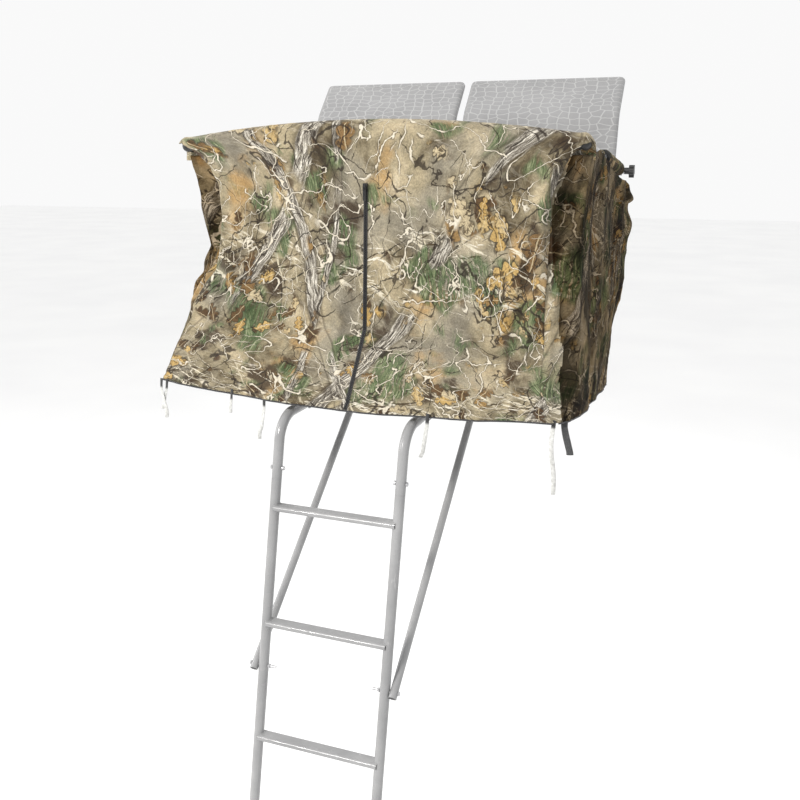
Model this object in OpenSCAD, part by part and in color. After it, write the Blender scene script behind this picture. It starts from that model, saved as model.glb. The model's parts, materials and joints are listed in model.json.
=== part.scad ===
// Two-seat ladder tree stand with a flip-up shooting rail and a hanging blind skirt.
// Millimetres. +Z is up, the ladder stands on the -Y side and the trunk is on the +Y side.
// The origin is where the trunk bears on the middle of the rear cradle.

/* [Ladder] */
// Distance between the two ladder rails, centre to centre
ladder_w = 406; // [380:1:440]
// Distance between rungs along the rails
rung_pitch = 362; // [340:1:380]
// Rungs in each of the two ladder sections
rungs_per_section = 4; // [3:1:4]
// Lean of the ladder from upright, in degrees
ladder_lean = 12.8; // [11:0.1:14]
// Outer diameter of the ladder rails
rail_d = 31.75; // [30:0.25:34]
// Front-to-back depth of an oval rung
rung_depth = 44; // [38:1:48]
// Height of an oval rung
rung_h = 18; // [16:1:22]
// Inside radius plus tube radius of the bend at the top of the ladder
stub_bend_r = 92; // [80:1:110]

/* [Platform] */
// Width of the platform
platform_w = 1240; // [1200:5:1250]
// Depth of the platform
platform_d = 915; // [880:5:930]
// Square tube of the platform frame
frame_t = 25; // [22:1:30]
// Height of the top of the deck above the first rung
deck_above_rung = 363; // [355:1:380]

/* [Seats and backs] */
// Diameter of the back hoop and seat bar tubes
hoop_d = 25.4; // [24:0.1:26]
// Height of a back hoop above the platform frame, square to its lean's foot
hoop_h = 980; // [940:5:1000]
// Lean of the back hoops from upright, in degrees
hoop_lean = 12.5; // [11:0.5:14]
// Height of the seat bar above the deck
seat_bar_h = 390; // [360:5:410]
// Length of a seat from its hinge to its front tube
seat_depth = 330; // [300:5:340]

/* [Shooting rail and blind] */
// Width of the shooting rail between the side arms, centre to centre
rail_w = 1280; // [1275:1:1285]
// Height of the rail's ends above the deck
rail_h = 715; // [700:5:730]
// How much higher the middle of the crossbar is than its ends
rail_crown = 45; // [35:1:55]
// Outer diameter of the foam pads
pad_d = 50; // [46:1:54]
// Thickness of the blind cloth's solids
cloth_t = 5; // [4:0.5:6]

/* [Hidden] */

$fn = 48;
eps = 0.5;             // overrun of a cutting solid
wall = 1.6;            // wall of every round tube
hole_gap = 0.4;        // a bolt hole's diameter over its bolt
touch = 0.3;           // gap left between soft and hard surfaces

paint = "LightGray";   // powder-coated steel
zinc = "Silver";
black = "DimGray";
camo = "DarkKhaki";

// First rung's middle, and where a point goes that lies h above it along the rails
rung_y = -1500;
rung_z = -620;
lean_dir = [0, sin(ladder_lean), cos(ladder_lean)];
function on_ladder(x, h) = [x, rung_y, rung_z] + h * lean_dir;
rail_x = ladder_w / 2;
section_l = rungs_per_section * rung_pitch;
top_joint = 88;                          // top of the upper section above the first rung
mid_joint = top_joint - section_l;       // joint between the two sections
last_rung = -(2 * rungs_per_section - 1) * rung_pitch;
foot_drop = 262;                         // last rung to the ground, along the rails
ground_z = rung_z + (last_rung - foot_drop) * cos(ladder_lean);
foot_t = 4;
stake_d = 11;

// Platform
deck_z = rung_z + deck_above_rung;
grate_t = 3;
frame_top = deck_z - grate_t;
frame_low = frame_top - frame_t;
front_y = rung_y + 165;
rear_y = front_y + platform_d;
stub_z = rung_z + 272;                   // axis of the level part of the stubs
stub_run = 330;
saddle_y = [rung_y + 235, rung_y + 430];
brace_d = 25.4;
brace_x = rail_x + (rail_d + brace_d) / 2;
member_x = brace_x - brace_d / 2 - frame_t / 2;
brace_low = on_ladder(0, -500);
brace_high = [0, rung_y + 929, frame_low + frame_t / 2];

// Back hoops
hoop_out_x = 602;
hoop_in_x = 30;
hoop_r = 60;
hoop_y = rear_y - frame_t / 2;
hoop_dir = [0, sin(hoop_lean), cos(hoop_lean)];
socket_h = 60;
function on_hoop(x, h) = [x, hoop_y, frame_top] + h * hoop_dir;
seat_bar_z = deck_z + seat_bar_h;
seat_bar_up = (seat_bar_z - frame_top) / cos(hoop_lean);
seat_bar_y = on_hoop(0, seat_bar_up)[1] - 42;
sleeve_low = 676;                        // lower edge of a back sleeve, along the hoop
sleeve_t = 33;

// Seats
seat_in_x = 52;
seat_out_x = 560;
seat_d = 22;
hinge_sleeve_d = 33;
hinge_gap = 0.08;                        // radial running gap on the seat bar
stand_y = seat_bar_y - seat_depth + 45;
stand_x = 600;
stand_z = seat_bar_z - seat_d / 2 - hoop_d / 2 - 0.1;

// Tree cradle
tree_bar_up = (0 - frame_top) / cos(hoop_lean);
tree_bar_y = on_hoop(0, tree_bar_up)[1] + hoop_d / cos(hoop_lean);
cradle_half = 130;
cradle_back = -19;                       // rear face of the cradle's back plate

// Shooting rail
arm_x = rail_w / 2;
rail_y = rung_y + 310;
rail_z = deck_z + rail_h;
rail_tube = 25.4;
pivot_up = 652;
pivot = on_hoop(0, pivot_up);
pivot_bolt_d = 10;
arm_front = [0, rail_y, rail_z];
arm_dir = (pivot - arm_front) / norm(pivot - arm_front);
cross_half = arm_x - 22;
cross_r = (cross_half * cross_half + rail_crown * rail_crown) / (2 * rail_crown);
cross_angle = asin(cross_half / cross_r);
pad_half_angle = asin((cross_half - 40) / cross_r);
arm_pad_from = 395;
arm_pad_len = 420;

// Blind cloth: front profile as [y, z] from the rail down to the hem, outer face
cloth_x = 664;
side_x = 668;
fold_y = rung_y + 250;
front_profile = [[rung_y + 278, rail_z + 14], [fold_y, rung_z + 520], [rung_y + 92, rung_z + 325]];
side_outline = [[rung_y + 300, rail_z - 5], [rung_y + 1105, rung_z + 1000],
    [rung_y + 1085, rung_z + 700], [rung_y + 1000, rung_z + 240],
    [rung_y + 100, rung_z + 318], [rung_y + 258, rung_z + 520]];
zip_w = 28;
zip_t = 1.6;
zip_top = rung_z + 967;

module bar(p, q, d) {
    v = q - p;
    l = norm(v);
    translate(p) rotate([0, acos(v[2] / l), atan2(v[1], v[0])]) cylinder(h = l, d = d);
}

// A round tube from p to q
module pipe(p, q, d, w = wall) {
    u = (q - p) / norm(q - p);
    difference() {
        bar(p, q, d);
        bar(p - eps * u, q + eps * u, d - 2 * w);
    }
}

// A rod that starts along +X and bends in the XY plane; a step is [length, bend angle, radius]
module rod_run(steps, d, i = 0) {
    l = steps[i][0];
    a = steps[i][1];
    r = steps[i][2];
    s = a < 0 ? -1 : 1;
    rotate([0, 90, 0]) cylinder(h = l, d = d);
    if (a != 0)
        translate([l, s * r, 0]) rotate([0, 0, -s * 90]) rotate_extrude(angle = a)
            translate([r, 0]) circle(d = d);
    if (i + 1 < len(steps))
        translate([l + r * sin(abs(a)), s * r * (1 - cos(a)), 0]) rotate([0, 0, a])
            rod_run(steps, d, i + 1);
}

// The same run as a hollow tube with open ends
module tube_run(steps, d, w = wall) {
    n = len(steps) - 1;
    longer = [for (i = [0:n]) [steps[i][0] + (i == 0 ? eps : 0) + (i == n ? eps : 0),
        steps[i][1], steps[i][2]]];
    difference() {
        rod_run(steps, d);
        translate([-eps, 0, 0]) rod_run(longer, d - 2 * w);
    }
}

// A square tube along X from its low corner
module box_tube(l, t = frame_t, w = 1.8) {
    difference() {
        cube([l, t, t]);
        translate([-eps, w, w]) cube([l + 2 * eps, t - 2 * w, t - 2 * w]);
    }
}

// A hexagon-head bolt from p to q with its head before p
module bolt(p, q, d, head_h = 5) {
    u = (q - p) / norm(q - p);
    bar(p, q, d);
    v = -u;
    translate(p) rotate([0, acos(v[2]), atan2(v[1], v[0])]) cylinder(h = head_h, d = 1.8 * d, $fn = 6);
}

module both_sides() {
    children();
    mirror([1, 0, 0]) children();
}

// Ladder
module joint_hole(side, h) {
    bar(on_ladder(side * (rail_x - 40), h), on_ladder(side * (rail_x + 40), h), 8 + hole_gap);
}

module ladder_rails(low, high) {
    for (side = [-1, 1]) difference() {
        pipe(on_ladder(side * rail_x, low), on_ladder(side * rail_x, high), rail_d);
        joint_hole(side, mid_joint + 34);
        bar([side * (rail_x - 40), brace_low[1], brace_low[2]],
            [side * (rail_x + 40), brace_low[1], brace_low[2]], 8 + hole_gap);
    }
}

module ladder_upper_rails() color(paint) ladder_rails(mid_joint + 0.5, top_joint);

module ladder_lower_rails() color(paint) difference() {
    ladder_rails(last_rung - foot_drop - 20, mid_joint);
    translate([-500, rung_y - 1500, ground_z + foot_t - 100]) cube([1000, 2000, 100]);
}

module oval(inset) {
    square([rung_depth - rung_h, rung_h - 2 * inset], center = true);
    for (s = [-1, 1]) translate([s * (rung_depth - rung_h) / 2, 0]) circle(d = rung_h - 2 * inset);
}

module rung(h) difference() {
    translate(on_ladder(0, h)) rotate([0, 90, 0]) rotate([0, 0, 90])
        linear_extrude(height = ladder_w - 8, center = true) difference() {
            oval(0);
            oval(wall);
        }
    for (side = [-1, 1])
        bar(on_ladder(side * rail_x, h - 60), on_ladder(side * rail_x, h + 60), rail_d + 0.02);
}

module ladder_upper_rungs() color(paint)
    for (i = [0:rungs_per_section - 1]) rung(-i * rung_pitch);

module ladder_lower_rungs() color(paint)
    for (i = [rungs_per_section:2 * rungs_per_section - 1]) rung(-i * rung_pitch);

module spigot(side, h) difference() {
    pipe(on_ladder(side * rail_x, h - 62), on_ladder(side * rail_x, h + 62),
        rail_d - 2 * wall - 0.2, 2);
    joint_hole(side, h + 34);
}

module ladder_spigots() color(zinc)
    for (side = [-1, 1]) for (h = [top_joint, mid_joint]) spigot(side, h);

module ladder_joint_bolts() color(zinc)
    for (side = [-1, 1]) for (h = [top_joint, mid_joint]) {
        bolt(on_ladder(side * (rail_x + rail_d / 2 + 0.1), h + 34),
            on_ladder(side * (rail_x - rail_d / 2 - 9), h + 34), 8, 5.5);
        bar(on_ladder(side * (rail_x - rail_d / 2 - 0.1), h + 34),
            on_ladder(side * (rail_x - rail_d / 2 - 6.5), h + 34), 13);
    }

foot_y = rung_y + (last_rung - foot_drop) * sin(ladder_lean);
module ladder_feet() color(paint) both_sides() difference() {
    translate([rail_x - 35, foot_y - 45, ground_z]) {
        cube([70, 95, foot_t]);
        for (y = [4, 86]) translate([0, y, foot_t]) cube([70, 4, 14]);
    }
    for (x = [-20, 20]) translate([rail_x + x, foot_y - 29, ground_z - eps])
        cylinder(h = foot_t + 2 * eps, d = stake_d);
}

stub_rise = 90 - ladder_lean;
stub_gap = 0.5;
stub_straight = (stub_z - rung_z - stub_bend_r * (1 - cos(stub_rise))) / cos(ladder_lean)
    - top_joint - stub_gap;
module ladder_stubs() color(paint) for (side = [-1, 1]) difference() {
    translate(on_ladder(side * rail_x, top_joint + stub_gap)) rotate([-ladder_lean, 0, 0])
        rotate([0, -90, 0]) tube_run([[stub_straight, stub_rise, stub_bend_r], [stub_run, 0, 0]], rail_d);
    joint_hole(side, top_joint + 34);
    for (y = saddle_y) bar([side * (rail_x - 40), y, stub_z], [side * (rail_x + 40), y, stub_z],
        8 + hole_gap);
}

saddle_w = 44;
module stub_saddles() color(paint) for (side = [-1, 1]) for (y = saddle_y) difference() {
    translate([side * rail_x - saddle_w / 2, y - 17, stub_z - 12])
        cube([saddle_w, 34, frame_low - stub_z + 12]);
    translate([side * rail_x, y - 20, stub_z]) rotate([-90, 0, 0])
        cylinder(h = 40, d = rail_d + 0.1);
    translate([side * rail_x - rail_d / 2, y - 20, stub_z - 20]) cube([rail_d, 40, 20]);
    bar([side * (rail_x - 40), y, stub_z], [side * (rail_x + 40), y, stub_z], 8 + hole_gap);
}

module stub_bolts() color(zinc) for (side = [-1, 1]) for (y = saddle_y) {
    bolt([side * (rail_x + saddle_w / 2 + 0.1), y, stub_z],
        [side * (rail_x - saddle_w / 2 - 9), y, stub_z], 8, 5.5);
    bar([side * (rail_x - saddle_w / 2 - 0.1), y, stub_z],
        [side * (rail_x - saddle_w / 2 - 6.5), y, stub_z], 14);
}

// Braces run outside the ladder rails, up and back to the platform's inner members
module brace(side) {
    low = [side * brace_x, brace_low[1], brace_low[2]];
    high = [side * brace_x, brace_high[1], brace_high[2]];
    u = (high - low) / norm(high - low);
    difference() {
        pipe(low - 18 * u, high + 14 * u, brace_d);
        for (p = [low, high]) bar(p - [30, 0, 0], p + [30, 0, 0], 8 + hole_gap);
    }
}

module brace_left() color(paint) brace(-1);
module brace_right() color(paint) brace(1);

module brace_bolts() color(zinc) for (side = [-1, 1]) {
    out = side * (brace_x + brace_d / 2 + 0.1);
    bolt([out, brace_low[1], brace_low[2]],
        [side * (rail_x - rail_d / 2 - 27), brace_low[1], brace_low[2]], 8, 5.5);
    bolt([out, brace_high[1], brace_high[2]],
        [side * (member_x - frame_t / 2 - 12), brace_high[1], brace_high[2]], 8, 5.5);
}

module nut(p, side) difference() {
    translate(p) rotate([0, -90 * side, 0]) cylinder(h = 6.5, d = 14.4, $fn = 6);
    bar(p - [10, 0, 0], p + [10, 0, 0], 8.02);
}

module brace_nuts() color(zinc) for (side = [-1, 1]) {
    nut([side * (rail_x - rail_d / 2 - 0.3), brace_low[1], brace_low[2]], side);
    nut([side * (member_x - frame_t / 2 - 0.1), brace_high[1], brace_high[2]], side);
}

// Platform
weld_gap = 0.05;         // lengths of frame tube stop this far short of each other
module along_y(x, y0, y1) translate([x + frame_t / 2, y0 + weld_gap, frame_low])
    rotate([0, 0, 90]) box_tube(y1 - y0 - 2 * weld_gap);

module platform_frame() color(paint) {
    half = platform_w / 2;
    for (y = [front_y, rear_y - frame_t]) translate([-half, y, frame_low]) box_tube(platform_w);
    for (side = [-1, 1]) {
        along_y(side * (half - frame_t / 2), front_y + frame_t, rear_y - frame_t);
        difference() {
            along_y(side * member_x, front_y + frame_t, rear_y - frame_t);
            bar([side * (member_x - 30), brace_high[1], brace_high[2]],
                [side * (member_x + 30), brace_high[1], brace_high[2]], 8 + hole_gap);
        }
        translate([(side > 0 ? member_x + frame_t / 2 : -half + frame_t) + weld_gap, mid_y, frame_low])
            box_tube(half - frame_t - member_x - frame_t / 2 - 2 * weld_gap);
    }
    translate([-member_x + frame_t / 2 + weld_gap, mid_y, frame_low])
        box_tube(2 * member_x - frame_t - 2 * weld_gap);
}

mid_y = (front_y + rear_y - frame_t) / 2;
grate_cols = 14;
grate_rows = 9;
module deck_grate() color(paint) {
    rim = 14;
    web = 9;
    step_x = (platform_w - 2 * rim + web) / grate_cols;
    step_y = (platform_d - 2 * rim + web) / grate_rows;
    translate([-platform_w / 2, front_y, frame_top]) difference() {
        cube([platform_w, platform_d, grate_t]);
        for (i = [0:grate_cols - 1]) for (j = [0:grate_rows - 1])
            translate([rim + i * step_x, rim + j * step_y, -eps])
                cube([step_x - web, step_y - web, grate_t + 2 * eps]);
        for (x = [-hoop_out_x, -hoop_in_x, hoop_in_x, hoop_out_x])
            translate([x + platform_w / 2 - 21, platform_d - 46, -eps]) cube([42, 50, grate_t + 2 * eps]);
    }
}

// Back hoops stand in sockets on the rear bar and lean back
module hoop_frame() translate([0, hoop_y, frame_top]) rotate([-hoop_lean, 0, 0]) children();

// Straight legs, a bend back near the top, then a square hoop in the plane beyond the bend
curl = 30;
curl_r = 120;
hoop_end = 80;                           // straight between the bend back and the hoop's corners
curl_h = hoop_h + 28 - curl_r * sin(curl) - (hoop_end + hoop_r) * cos(curl);
module beyond_curl() translate([0, curl_r * (1 - cos(curl)), curl_h + curl_r * sin(curl)])
    rotate([-curl, 0, 0]) children();

module hoop_tubes() {
    width = hoop_out_x - hoop_in_x - 2 * hoop_r;
    for (x = [-hoop_out_x, -hoop_in_x]) translate([x, 0, 8]) rotate([0, -90, 0])
        tube_run([[curl_h - 8, curl, curl_r]], hoop_d);
    beyond_curl() translate([-hoop_out_x, 0, 0]) rotate([0, 0, -90]) rotate([0, -90, 0])
        tube_run([[hoop_end, 90, hoop_r], [width, 90, hoop_r], [hoop_end, 0, 0]], hoop_d);
}

module back_hoop() difference() {
    hoop_frame() hoop_tubes();
    for (x = [-hoop_out_x, -hoop_in_x]) {
        bar(on_hoop(x, 36) - [30, 0, 0], on_hoop(x, 36) + [30, 0, 0], 6 + hole_gap);
        bar(on_hoop(x, tree_bar_up) - [0, 40, 0], on_hoop(x, tree_bar_up) + [0, 40, 0], 8 + hole_gap);
        bar(on_hoop(x, seat_bar_up) - [0, 40, 0], on_hoop(x, seat_bar_up) + [0, 40, 0], 8 + hole_gap);
    }
    bar(pivot + [-hoop_out_x - 40, 0, 0], pivot + [-hoop_out_x + 40, 0, 0], pivot_bolt_d + 0.1);
}

module back_hoop_left() color(paint) back_hoop();
module back_hoop_right() color(paint) mirror([1, 0, 0]) back_hoop();

module hoop_sockets() color(paint) difference() {
    for (x = [-hoop_out_x, -hoop_in_x, hoop_in_x, hoop_out_x]) intersection() {
        hoop_frame() translate([x, 0, -20]) difference() {
            cylinder(h = socket_h + 20, d = hoop_d + 6);
            cylinder(h = socket_h + 21, d = hoop_d + 0.4);
        }
        translate([-platform_w, rear_y - 200, frame_top]) cube([2 * platform_w, 400, 200]);
    }
    for (x = [-hoop_out_x, -hoop_in_x, hoop_in_x, hoop_out_x])
        bar(on_hoop(x, 36) - [30, 0, 0], on_hoop(x, 36) + [30, 0, 0], 6 + hole_gap);
}

module hoop_bolts() color(zinc) for (side = [-1, 1]) for (x = [hoop_in_x, hoop_out_x]) {
    p = on_hoop(side * x, 36);
    away = x == hoop_in_x ? 1 : -1;
    half = hoop_d / 2 + 3.2;
    bolt(p + [side * away * half, 0, 0], p - [side * away * (half + 6), 0, 0], 6, 4);
    bar(p - [side * away * half, 0, 0], p - [side * away * (half + 5), 0, 0], 10);
}

// Fabric sleeve pulled over the top of a back hoop: a band that follows the hoop's side view
module side_band(t, low, top) {
    translate([-t / 2, low]) square([t, curl_h - low]);
    translate([curl_r, curl_h]) intersection() {
        difference() {
            circle(r = curl_r + t / 2);
            circle(r = curl_r - t / 2);
        }
        polygon([[0, 0], [-300, 0], [-300, 300 * tan(curl)]]);
    }
    translate([curl_r * (1 - cos(curl)), curl_h + curl_r * sin(curl)]) rotate(-curl)
        translate([-t / 2, 0]) square([t, top]);
}

module back_sleeve() {
    half_w = (hoop_out_x - hoop_in_x + hoop_d) / 2 + 4;
    top = hoop_end + hoop_r + hoop_d / 2;
    hoop_frame() translate([-(hoop_out_x + hoop_in_x) / 2 - half_w, 0, 0]) rotate([90, 0, 90])
        linear_extrude(height = 2 * half_w) difference() {
            side_band(sleeve_t, sleeve_low, top + 4);
            side_band(hoop_d + 2 * touch, sleeve_low - 1, top + touch);
        }
}

module corner_cut(r) difference() {
    translate([-eps, -eps]) square(r + eps);
    translate([r, r]) circle(r = r);
}

module back_sleeve_left() color("Gray") back_sleeve();
module back_sleeve_right() color("Gray") mirror([1, 0, 0]) back_sleeve();

// Seats hinge on a cross bar in front of the hoops and rest on a front stand
module seat_rear_bar() color(paint)
    pipe([-610, seat_bar_y, seat_bar_z], [610, seat_bar_y, seat_bar_z], hoop_d, 2);

module seat_bar_brackets() color(paint) for (x = [-hoop_out_x, -hoop_in_x, hoop_in_x, hoop_out_x])
    difference() {
        translate([x - 9, seat_bar_y - 4, seat_bar_z - 16]) cube([18, 46, 32]);
        bar([x - 20, seat_bar_y, seat_bar_z], [x + 20, seat_bar_y, seat_bar_z], hoop_d + 0.04);
        bar(on_hoop(x, seat_bar_up - 60), on_hoop(x, seat_bar_up + 60), hoop_d + 0.04);
    }

stand_foot_t = 3;
module seat_front_stand() color(paint) {
    leg = stand_z - deck_z - stand_foot_t - 45;
    translate([-stand_x, stand_y, deck_z + stand_foot_t]) rotate([0, 0, -90]) rotate([0, -90, 0])
        tube_run([[leg, 90, 45], [2 * stand_x - 90, 90, 45], [leg, 0, 0]], hoop_d);
}

module stand_feet() color(paint) for (side = [-1, 1]) difference() {
    translate([side * stand_x, stand_y, deck_z]) {
        translate([-18, -42, 0]) cube([36, 84, stand_foot_t - 0.05]);
        difference() {
            cylinder(h = 28, d = hoop_d + 5);
            translate([0, 0, stand_foot_t - 0.05]) cylinder(h = 30, d = hoop_d + 0.2);
        }
    }
    for (s = [-1, 1]) translate([side * stand_x, stand_y + s * 31, deck_z - 1])
        cylinder(h = 6, d = 6 + hole_gap);
}

module stand_screws() color(zinc) for (side = [-1, 1]) for (s = [-1, 1])
    translate([side * stand_x, stand_y + s * 31, deck_z]) {
        cylinder(h = stand_foot_t, d = 6);
        translate([0, 0, stand_foot_t]) cylinder(h = 4, d = 11, $fn = 6);
    }

module seat_frame() {
    arm = seat_depth - 40;
    difference() {
        union() {
            translate([-seat_out_x, seat_bar_y - 13, seat_bar_z]) rotate([0, 0, -90])
                rod_run([[arm - 13, 90, 40], [seat_out_x - seat_in_x - 80, 90, 40], [arm - 13, 0, 0]],
                    seat_d);
            for (x = [-seat_out_x - seat_d / 2, -seat_in_x + seat_d / 2 - 30])
                translate([x, seat_bar_y, seat_bar_z])
                    rotate([0, 90, 0]) cylinder(h = 30, d = hinge_sleeve_d);
        }
        bar([-620, seat_bar_y, seat_bar_z], [0, seat_bar_y, seat_bar_z], hoop_d + 2 * hinge_gap);
    }
}

module seat_frame_left() color(paint) seat_frame();
module seat_frame_right() color(paint) mirror([1, 0, 0]) seat_frame();

module seat_sling() translate([-seat_out_x - 14, seat_bar_y - seat_depth - 12,
    seat_bar_z + seat_d / 2 + touch]) difference() {
        cube([seat_out_x - seat_in_x + 28, seat_depth - 30, 9]);
        for (s = [0, 1]) translate([s * (seat_out_x - seat_in_x + 28), 0, -eps])
            rotate([0, 0, s * 90]) linear_extrude(height = 10) corner_cut(46);
    }

module seat_sling_left() color("Gray") seat_sling();
module seat_sling_right() color("Gray") mirror([1, 0, 0]) seat_sling();

// Rear cross bar, arms and the toothed cradle that bears on the trunk
module tree_cross_bar() color(paint) difference() {
    pipe([-616, tree_bar_y, 0], [616, tree_bar_y, 0], hoop_d);
    for (x = [-hoop_out_x, -hoop_in_x, hoop_in_x, hoop_out_x])
        bar([x, tree_bar_y - 40, 0], [x, tree_bar_y + 40, 0], 8 + hole_gap);
}

arm_root_x = 230;
arm_root_y = tree_bar_y + hoop_d / 2 + 0.05;
module tree_arms() color(paint) for (side = [-1, 1]) {
    difference() {
        pipe([side * arm_root_x, tree_bar_y, 0], [side * 70, cradle_back + 14, 0], hoop_d);
        translate([-400, tree_bar_y - 60, -50]) cube([800, 60 + hoop_d / 2 + 4, 100]);
        translate([-300, cradle_back, -50]) cube([600, 60, 100]);
    }
    translate([side * (arm_root_x - 6) - 26, arm_root_y, -18]) cube([52, 3.95, 36]);
}

// Saw teeth along one side of the cradle's V, from its tip to its middle
cradle_teeth = [for (i = [5:-1:0]) each [[36 + 14 * i, 14 + 11 * i], [28 + 14 * i, 19 + 11 * i]]];
module tree_cradle() color(paint) difference() {
    union() {
        translate([-105, cradle_back + 0.05, -45]) cube([210, 5, 90]);
        both_sides() for (z = [-45, 37]) translate([0, cradle_back + 5, z])
            linear_extrude(height = 8) polygon(concat([[0, 0], [60, 0], [cradle_half, 62],
                [cradle_half, 90], [118, 84]], cradle_teeth, [[0, 14]]));
        both_sides() translate([cradle_half - 6, cradle_back + 64, -45]) cube([6, 30, 90]);
    }
    both_sides() translate([cradle_half - 10, cradle_back + 74, -18]) cube([20, 10, 36]);
}

module cradle_bolts() color(zinc) for (x = [-hoop_out_x, -hoop_in_x, hoop_in_x, hoop_out_x]) {
    leg_y = on_hoop(0, tree_bar_up)[1];
    reach = hoop_d / 2 / cos(hoop_lean) + 6.5 * tan(hoop_lean);
    bolt([x, tree_bar_y + hoop_d / 2 + 0.1, 0], [x, leg_y - reach - 9, 0], 8, 5.5);
    bar([x, leg_y - reach - 0.6, 0], [x, leg_y - reach - 6.5, 0], 13);
}

// Shooting rail
module cross_place() translate([0, rail_y, rail_z + rail_crown - cross_r]) rotate([-90, 0, 0])
    mirror([0, 1, 0]) children();

module cross_arc(d, half_angle) rotate([0, 0, 90 - half_angle])
    rotate_extrude(angle = 2 * half_angle, $fn = 720) translate([cross_r, 0]) circle(d = d, $fn = 48);

module rail_crossbar() color(paint) cross_place() difference() {
    cross_arc(rail_tube, cross_angle);
    cross_arc(rail_tube - 2 * wall, cross_angle + 0.1);
}

module rail_arms() color(paint) for (side = [-1, 1]) {
    x = [side * arm_x, 0, 0];
    arm_len = norm(pivot - arm_front);
    difference() {
        union() {
            bar(x + arm_front + 30 * arm_dir, x + pivot - 12 * arm_dir, rail_tube);
            translate(x + pivot - [side * 8, 0, 0]) rotate([0, side * 90, 0]) cylinder(h = 14, d = 34);
        }
        bar(x + arm_front + 29 * arm_dir, x + pivot - 60 * arm_dir, rail_tube - 2 * wall);
        bar(x + pivot - [30, 0, 0], x + pivot + [30, 0, 0], pivot_bolt_d + 0.16);
        translate([side > 0 ? x[0] + 6 : x[0] - 46, pivot[1] - 30, pivot[2] - 30]) cube([40, 60, 60]);
        translate([side > 0 ? x[0] - 48 : x[0] + 8, pivot[1] - 30, pivot[2] - 30]) cube([40, 60, 60]);
    }
}

module rail_corner_fittings() color(black) for (side = [-1, 1]) {
    difference() {
        union() {
            translate([side * arm_x, rail_y, rail_z]) sphere(d = 36);
            bar([side * arm_x, rail_y, rail_z], [side * (arm_x - 57), rail_y, rail_z + 7.4], 34);
            bar([side * arm_x, 0, 0] + arm_front, [side * arm_x, 0, 0] + arm_front + 70 * arm_dir, 34);
        }
        bar([side * (arm_x - 18), rail_y, rail_z], [side * (arm_x - 90), rail_y, rail_z + 10.5], rail_tube + 3.4);
        bar([side * arm_x, 0, 0] + arm_front + 30 * arm_dir,
            [side * arm_x, 0, 0] + arm_front + 72 * arm_dir, rail_tube + 0.1);
    }
}

module corner_screws() color(zinc) for (side = [-1, 1]) {
    p = [side * arm_x, 0, 0] + arm_front + 52 * arm_dir;
    bar(p + [side * 17.1, 0, 0], p + [side * 20.5, 0, 0], 10);
}

module rail_pad() color(camo) cross_place() difference() {
    cross_arc(pad_d, pad_half_angle);
    cross_arc(rail_tube + 0.6, pad_half_angle + 0.1);
}

module arm_pad(side) {
    p = [side * arm_x, 0, 0] + arm_front + arm_pad_from * arm_dir;
    pipe(p, p + arm_pad_len * arm_dir, pad_d, (pad_d - rail_tube) / 2 - 0.3);
}

module arm_pad_left() color(camo) arm_pad(-1);
module arm_pad_right() color(camo) arm_pad(1);

knob_x = arm_x + 16;
module pivot_bolts() color(zinc) for (side = [-1, 1])
    bolt([side * (hoop_out_x - hoop_d / 2 - 0.5), pivot[1], pivot[2]],
        [side * (knob_x + 26), pivot[1], pivot[2]], pivot_bolt_d, 6);

module pivot_washers() color(zinc) for (side = [-1, 1])
    for (x = [[hoop_out_x + hoop_d / 2 + 0.6, arm_x - 8.6], [arm_x + 6.6, knob_x - 1]])
        difference() {
            bar([side * x[0], pivot[1], pivot[2]], [side * x[1], pivot[1], pivot[2]], 24);
            bar([side * (x[0] - 1), pivot[1], pivot[2]], [side * (x[1] + 1), pivot[1], pivot[2]],
                pivot_bolt_d + 0.1);
        }

module knob(side) translate([side * knob_x, pivot[1], pivot[2]]) rotate([0, side * 90, 0])
    difference() {
        union() {
            cylinder(h = 17, d = 24);
            translate([0, 0, 16]) linear_extrude(height = 18) {
                circle(d = 36);
                for (i = [0:4]) rotate(72 * i) translate([17, 0]) circle(d = 15);
            }
        }
        translate([0, 0, -1]) cylinder(h = 31, d = pivot_bolt_d + 0.12);
    }

module knob_left() color("Black") knob(-1);
module knob_right() color("Black") knob(1);

// Blind cloth, hung from the shooting rail
module front_slab(x0, x1, out, t) {
    outer = [for (p = front_profile) p - [out, 0]];
    inner = [for (i = [2:-1:0]) front_profile[i] - [out - t, 0]];
    translate([x0, 0, 0]) rotate([90, 0, 90]) linear_extrude(height = x1 - x0)
        polygon(concat(outer, inner));
}

module blind_front() color(camo) front_slab(-cloth_x, cloth_x, 0, cloth_t);

module blind_side(side) translate([side > 0 ? side_x : -side_x - cloth_t, 0, 0])
    rotate([90, 0, 90]) linear_extrude(height = cloth_t) polygon(side_outline);

module blind_side_left() color(camo) blind_side(-1);
module blind_side_right() color(camo) blind_side(1);

module zip_tape() color("Black") intersection() {
    front_slab(-zip_w / 2, zip_w / 2, touch + zip_t, zip_t);
    translate([-50, rung_y, rung_z]) cube([100, 400, zip_top - rung_z]);
}

zip_start = [0, front_profile[0][0], front_profile[0][1]];
zip_bend = [0, front_profile[1][0], front_profile[1][1]];
zip_dir = (zip_start - zip_bend) / norm(zip_start - zip_bend);
zip_out = [0, -zip_dir[2], zip_dir[1]];
slider_at = zip_start + (zip_top - 12 - zip_start[2]) / zip_dir[2] * zip_dir
    + (2 * touch + zip_t + 3) * zip_out;
zip_tilt = atan2(zip_dir[1], zip_dir[2]);

module zip_slider() color(zinc) translate(slider_at) rotate([-zip_tilt, 0, 0]) difference() {
    union() {
        translate([-7, -2.6, -11]) cube([14, 5.2, 22]);
        translate([-2.5, -6.5, -3]) cube([5, 5, 9]);
    }
    translate([-4, -4.8, 1.5]) rotate([0, 90, 0]) cylinder(h = 8, d = 2.2);
}

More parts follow.
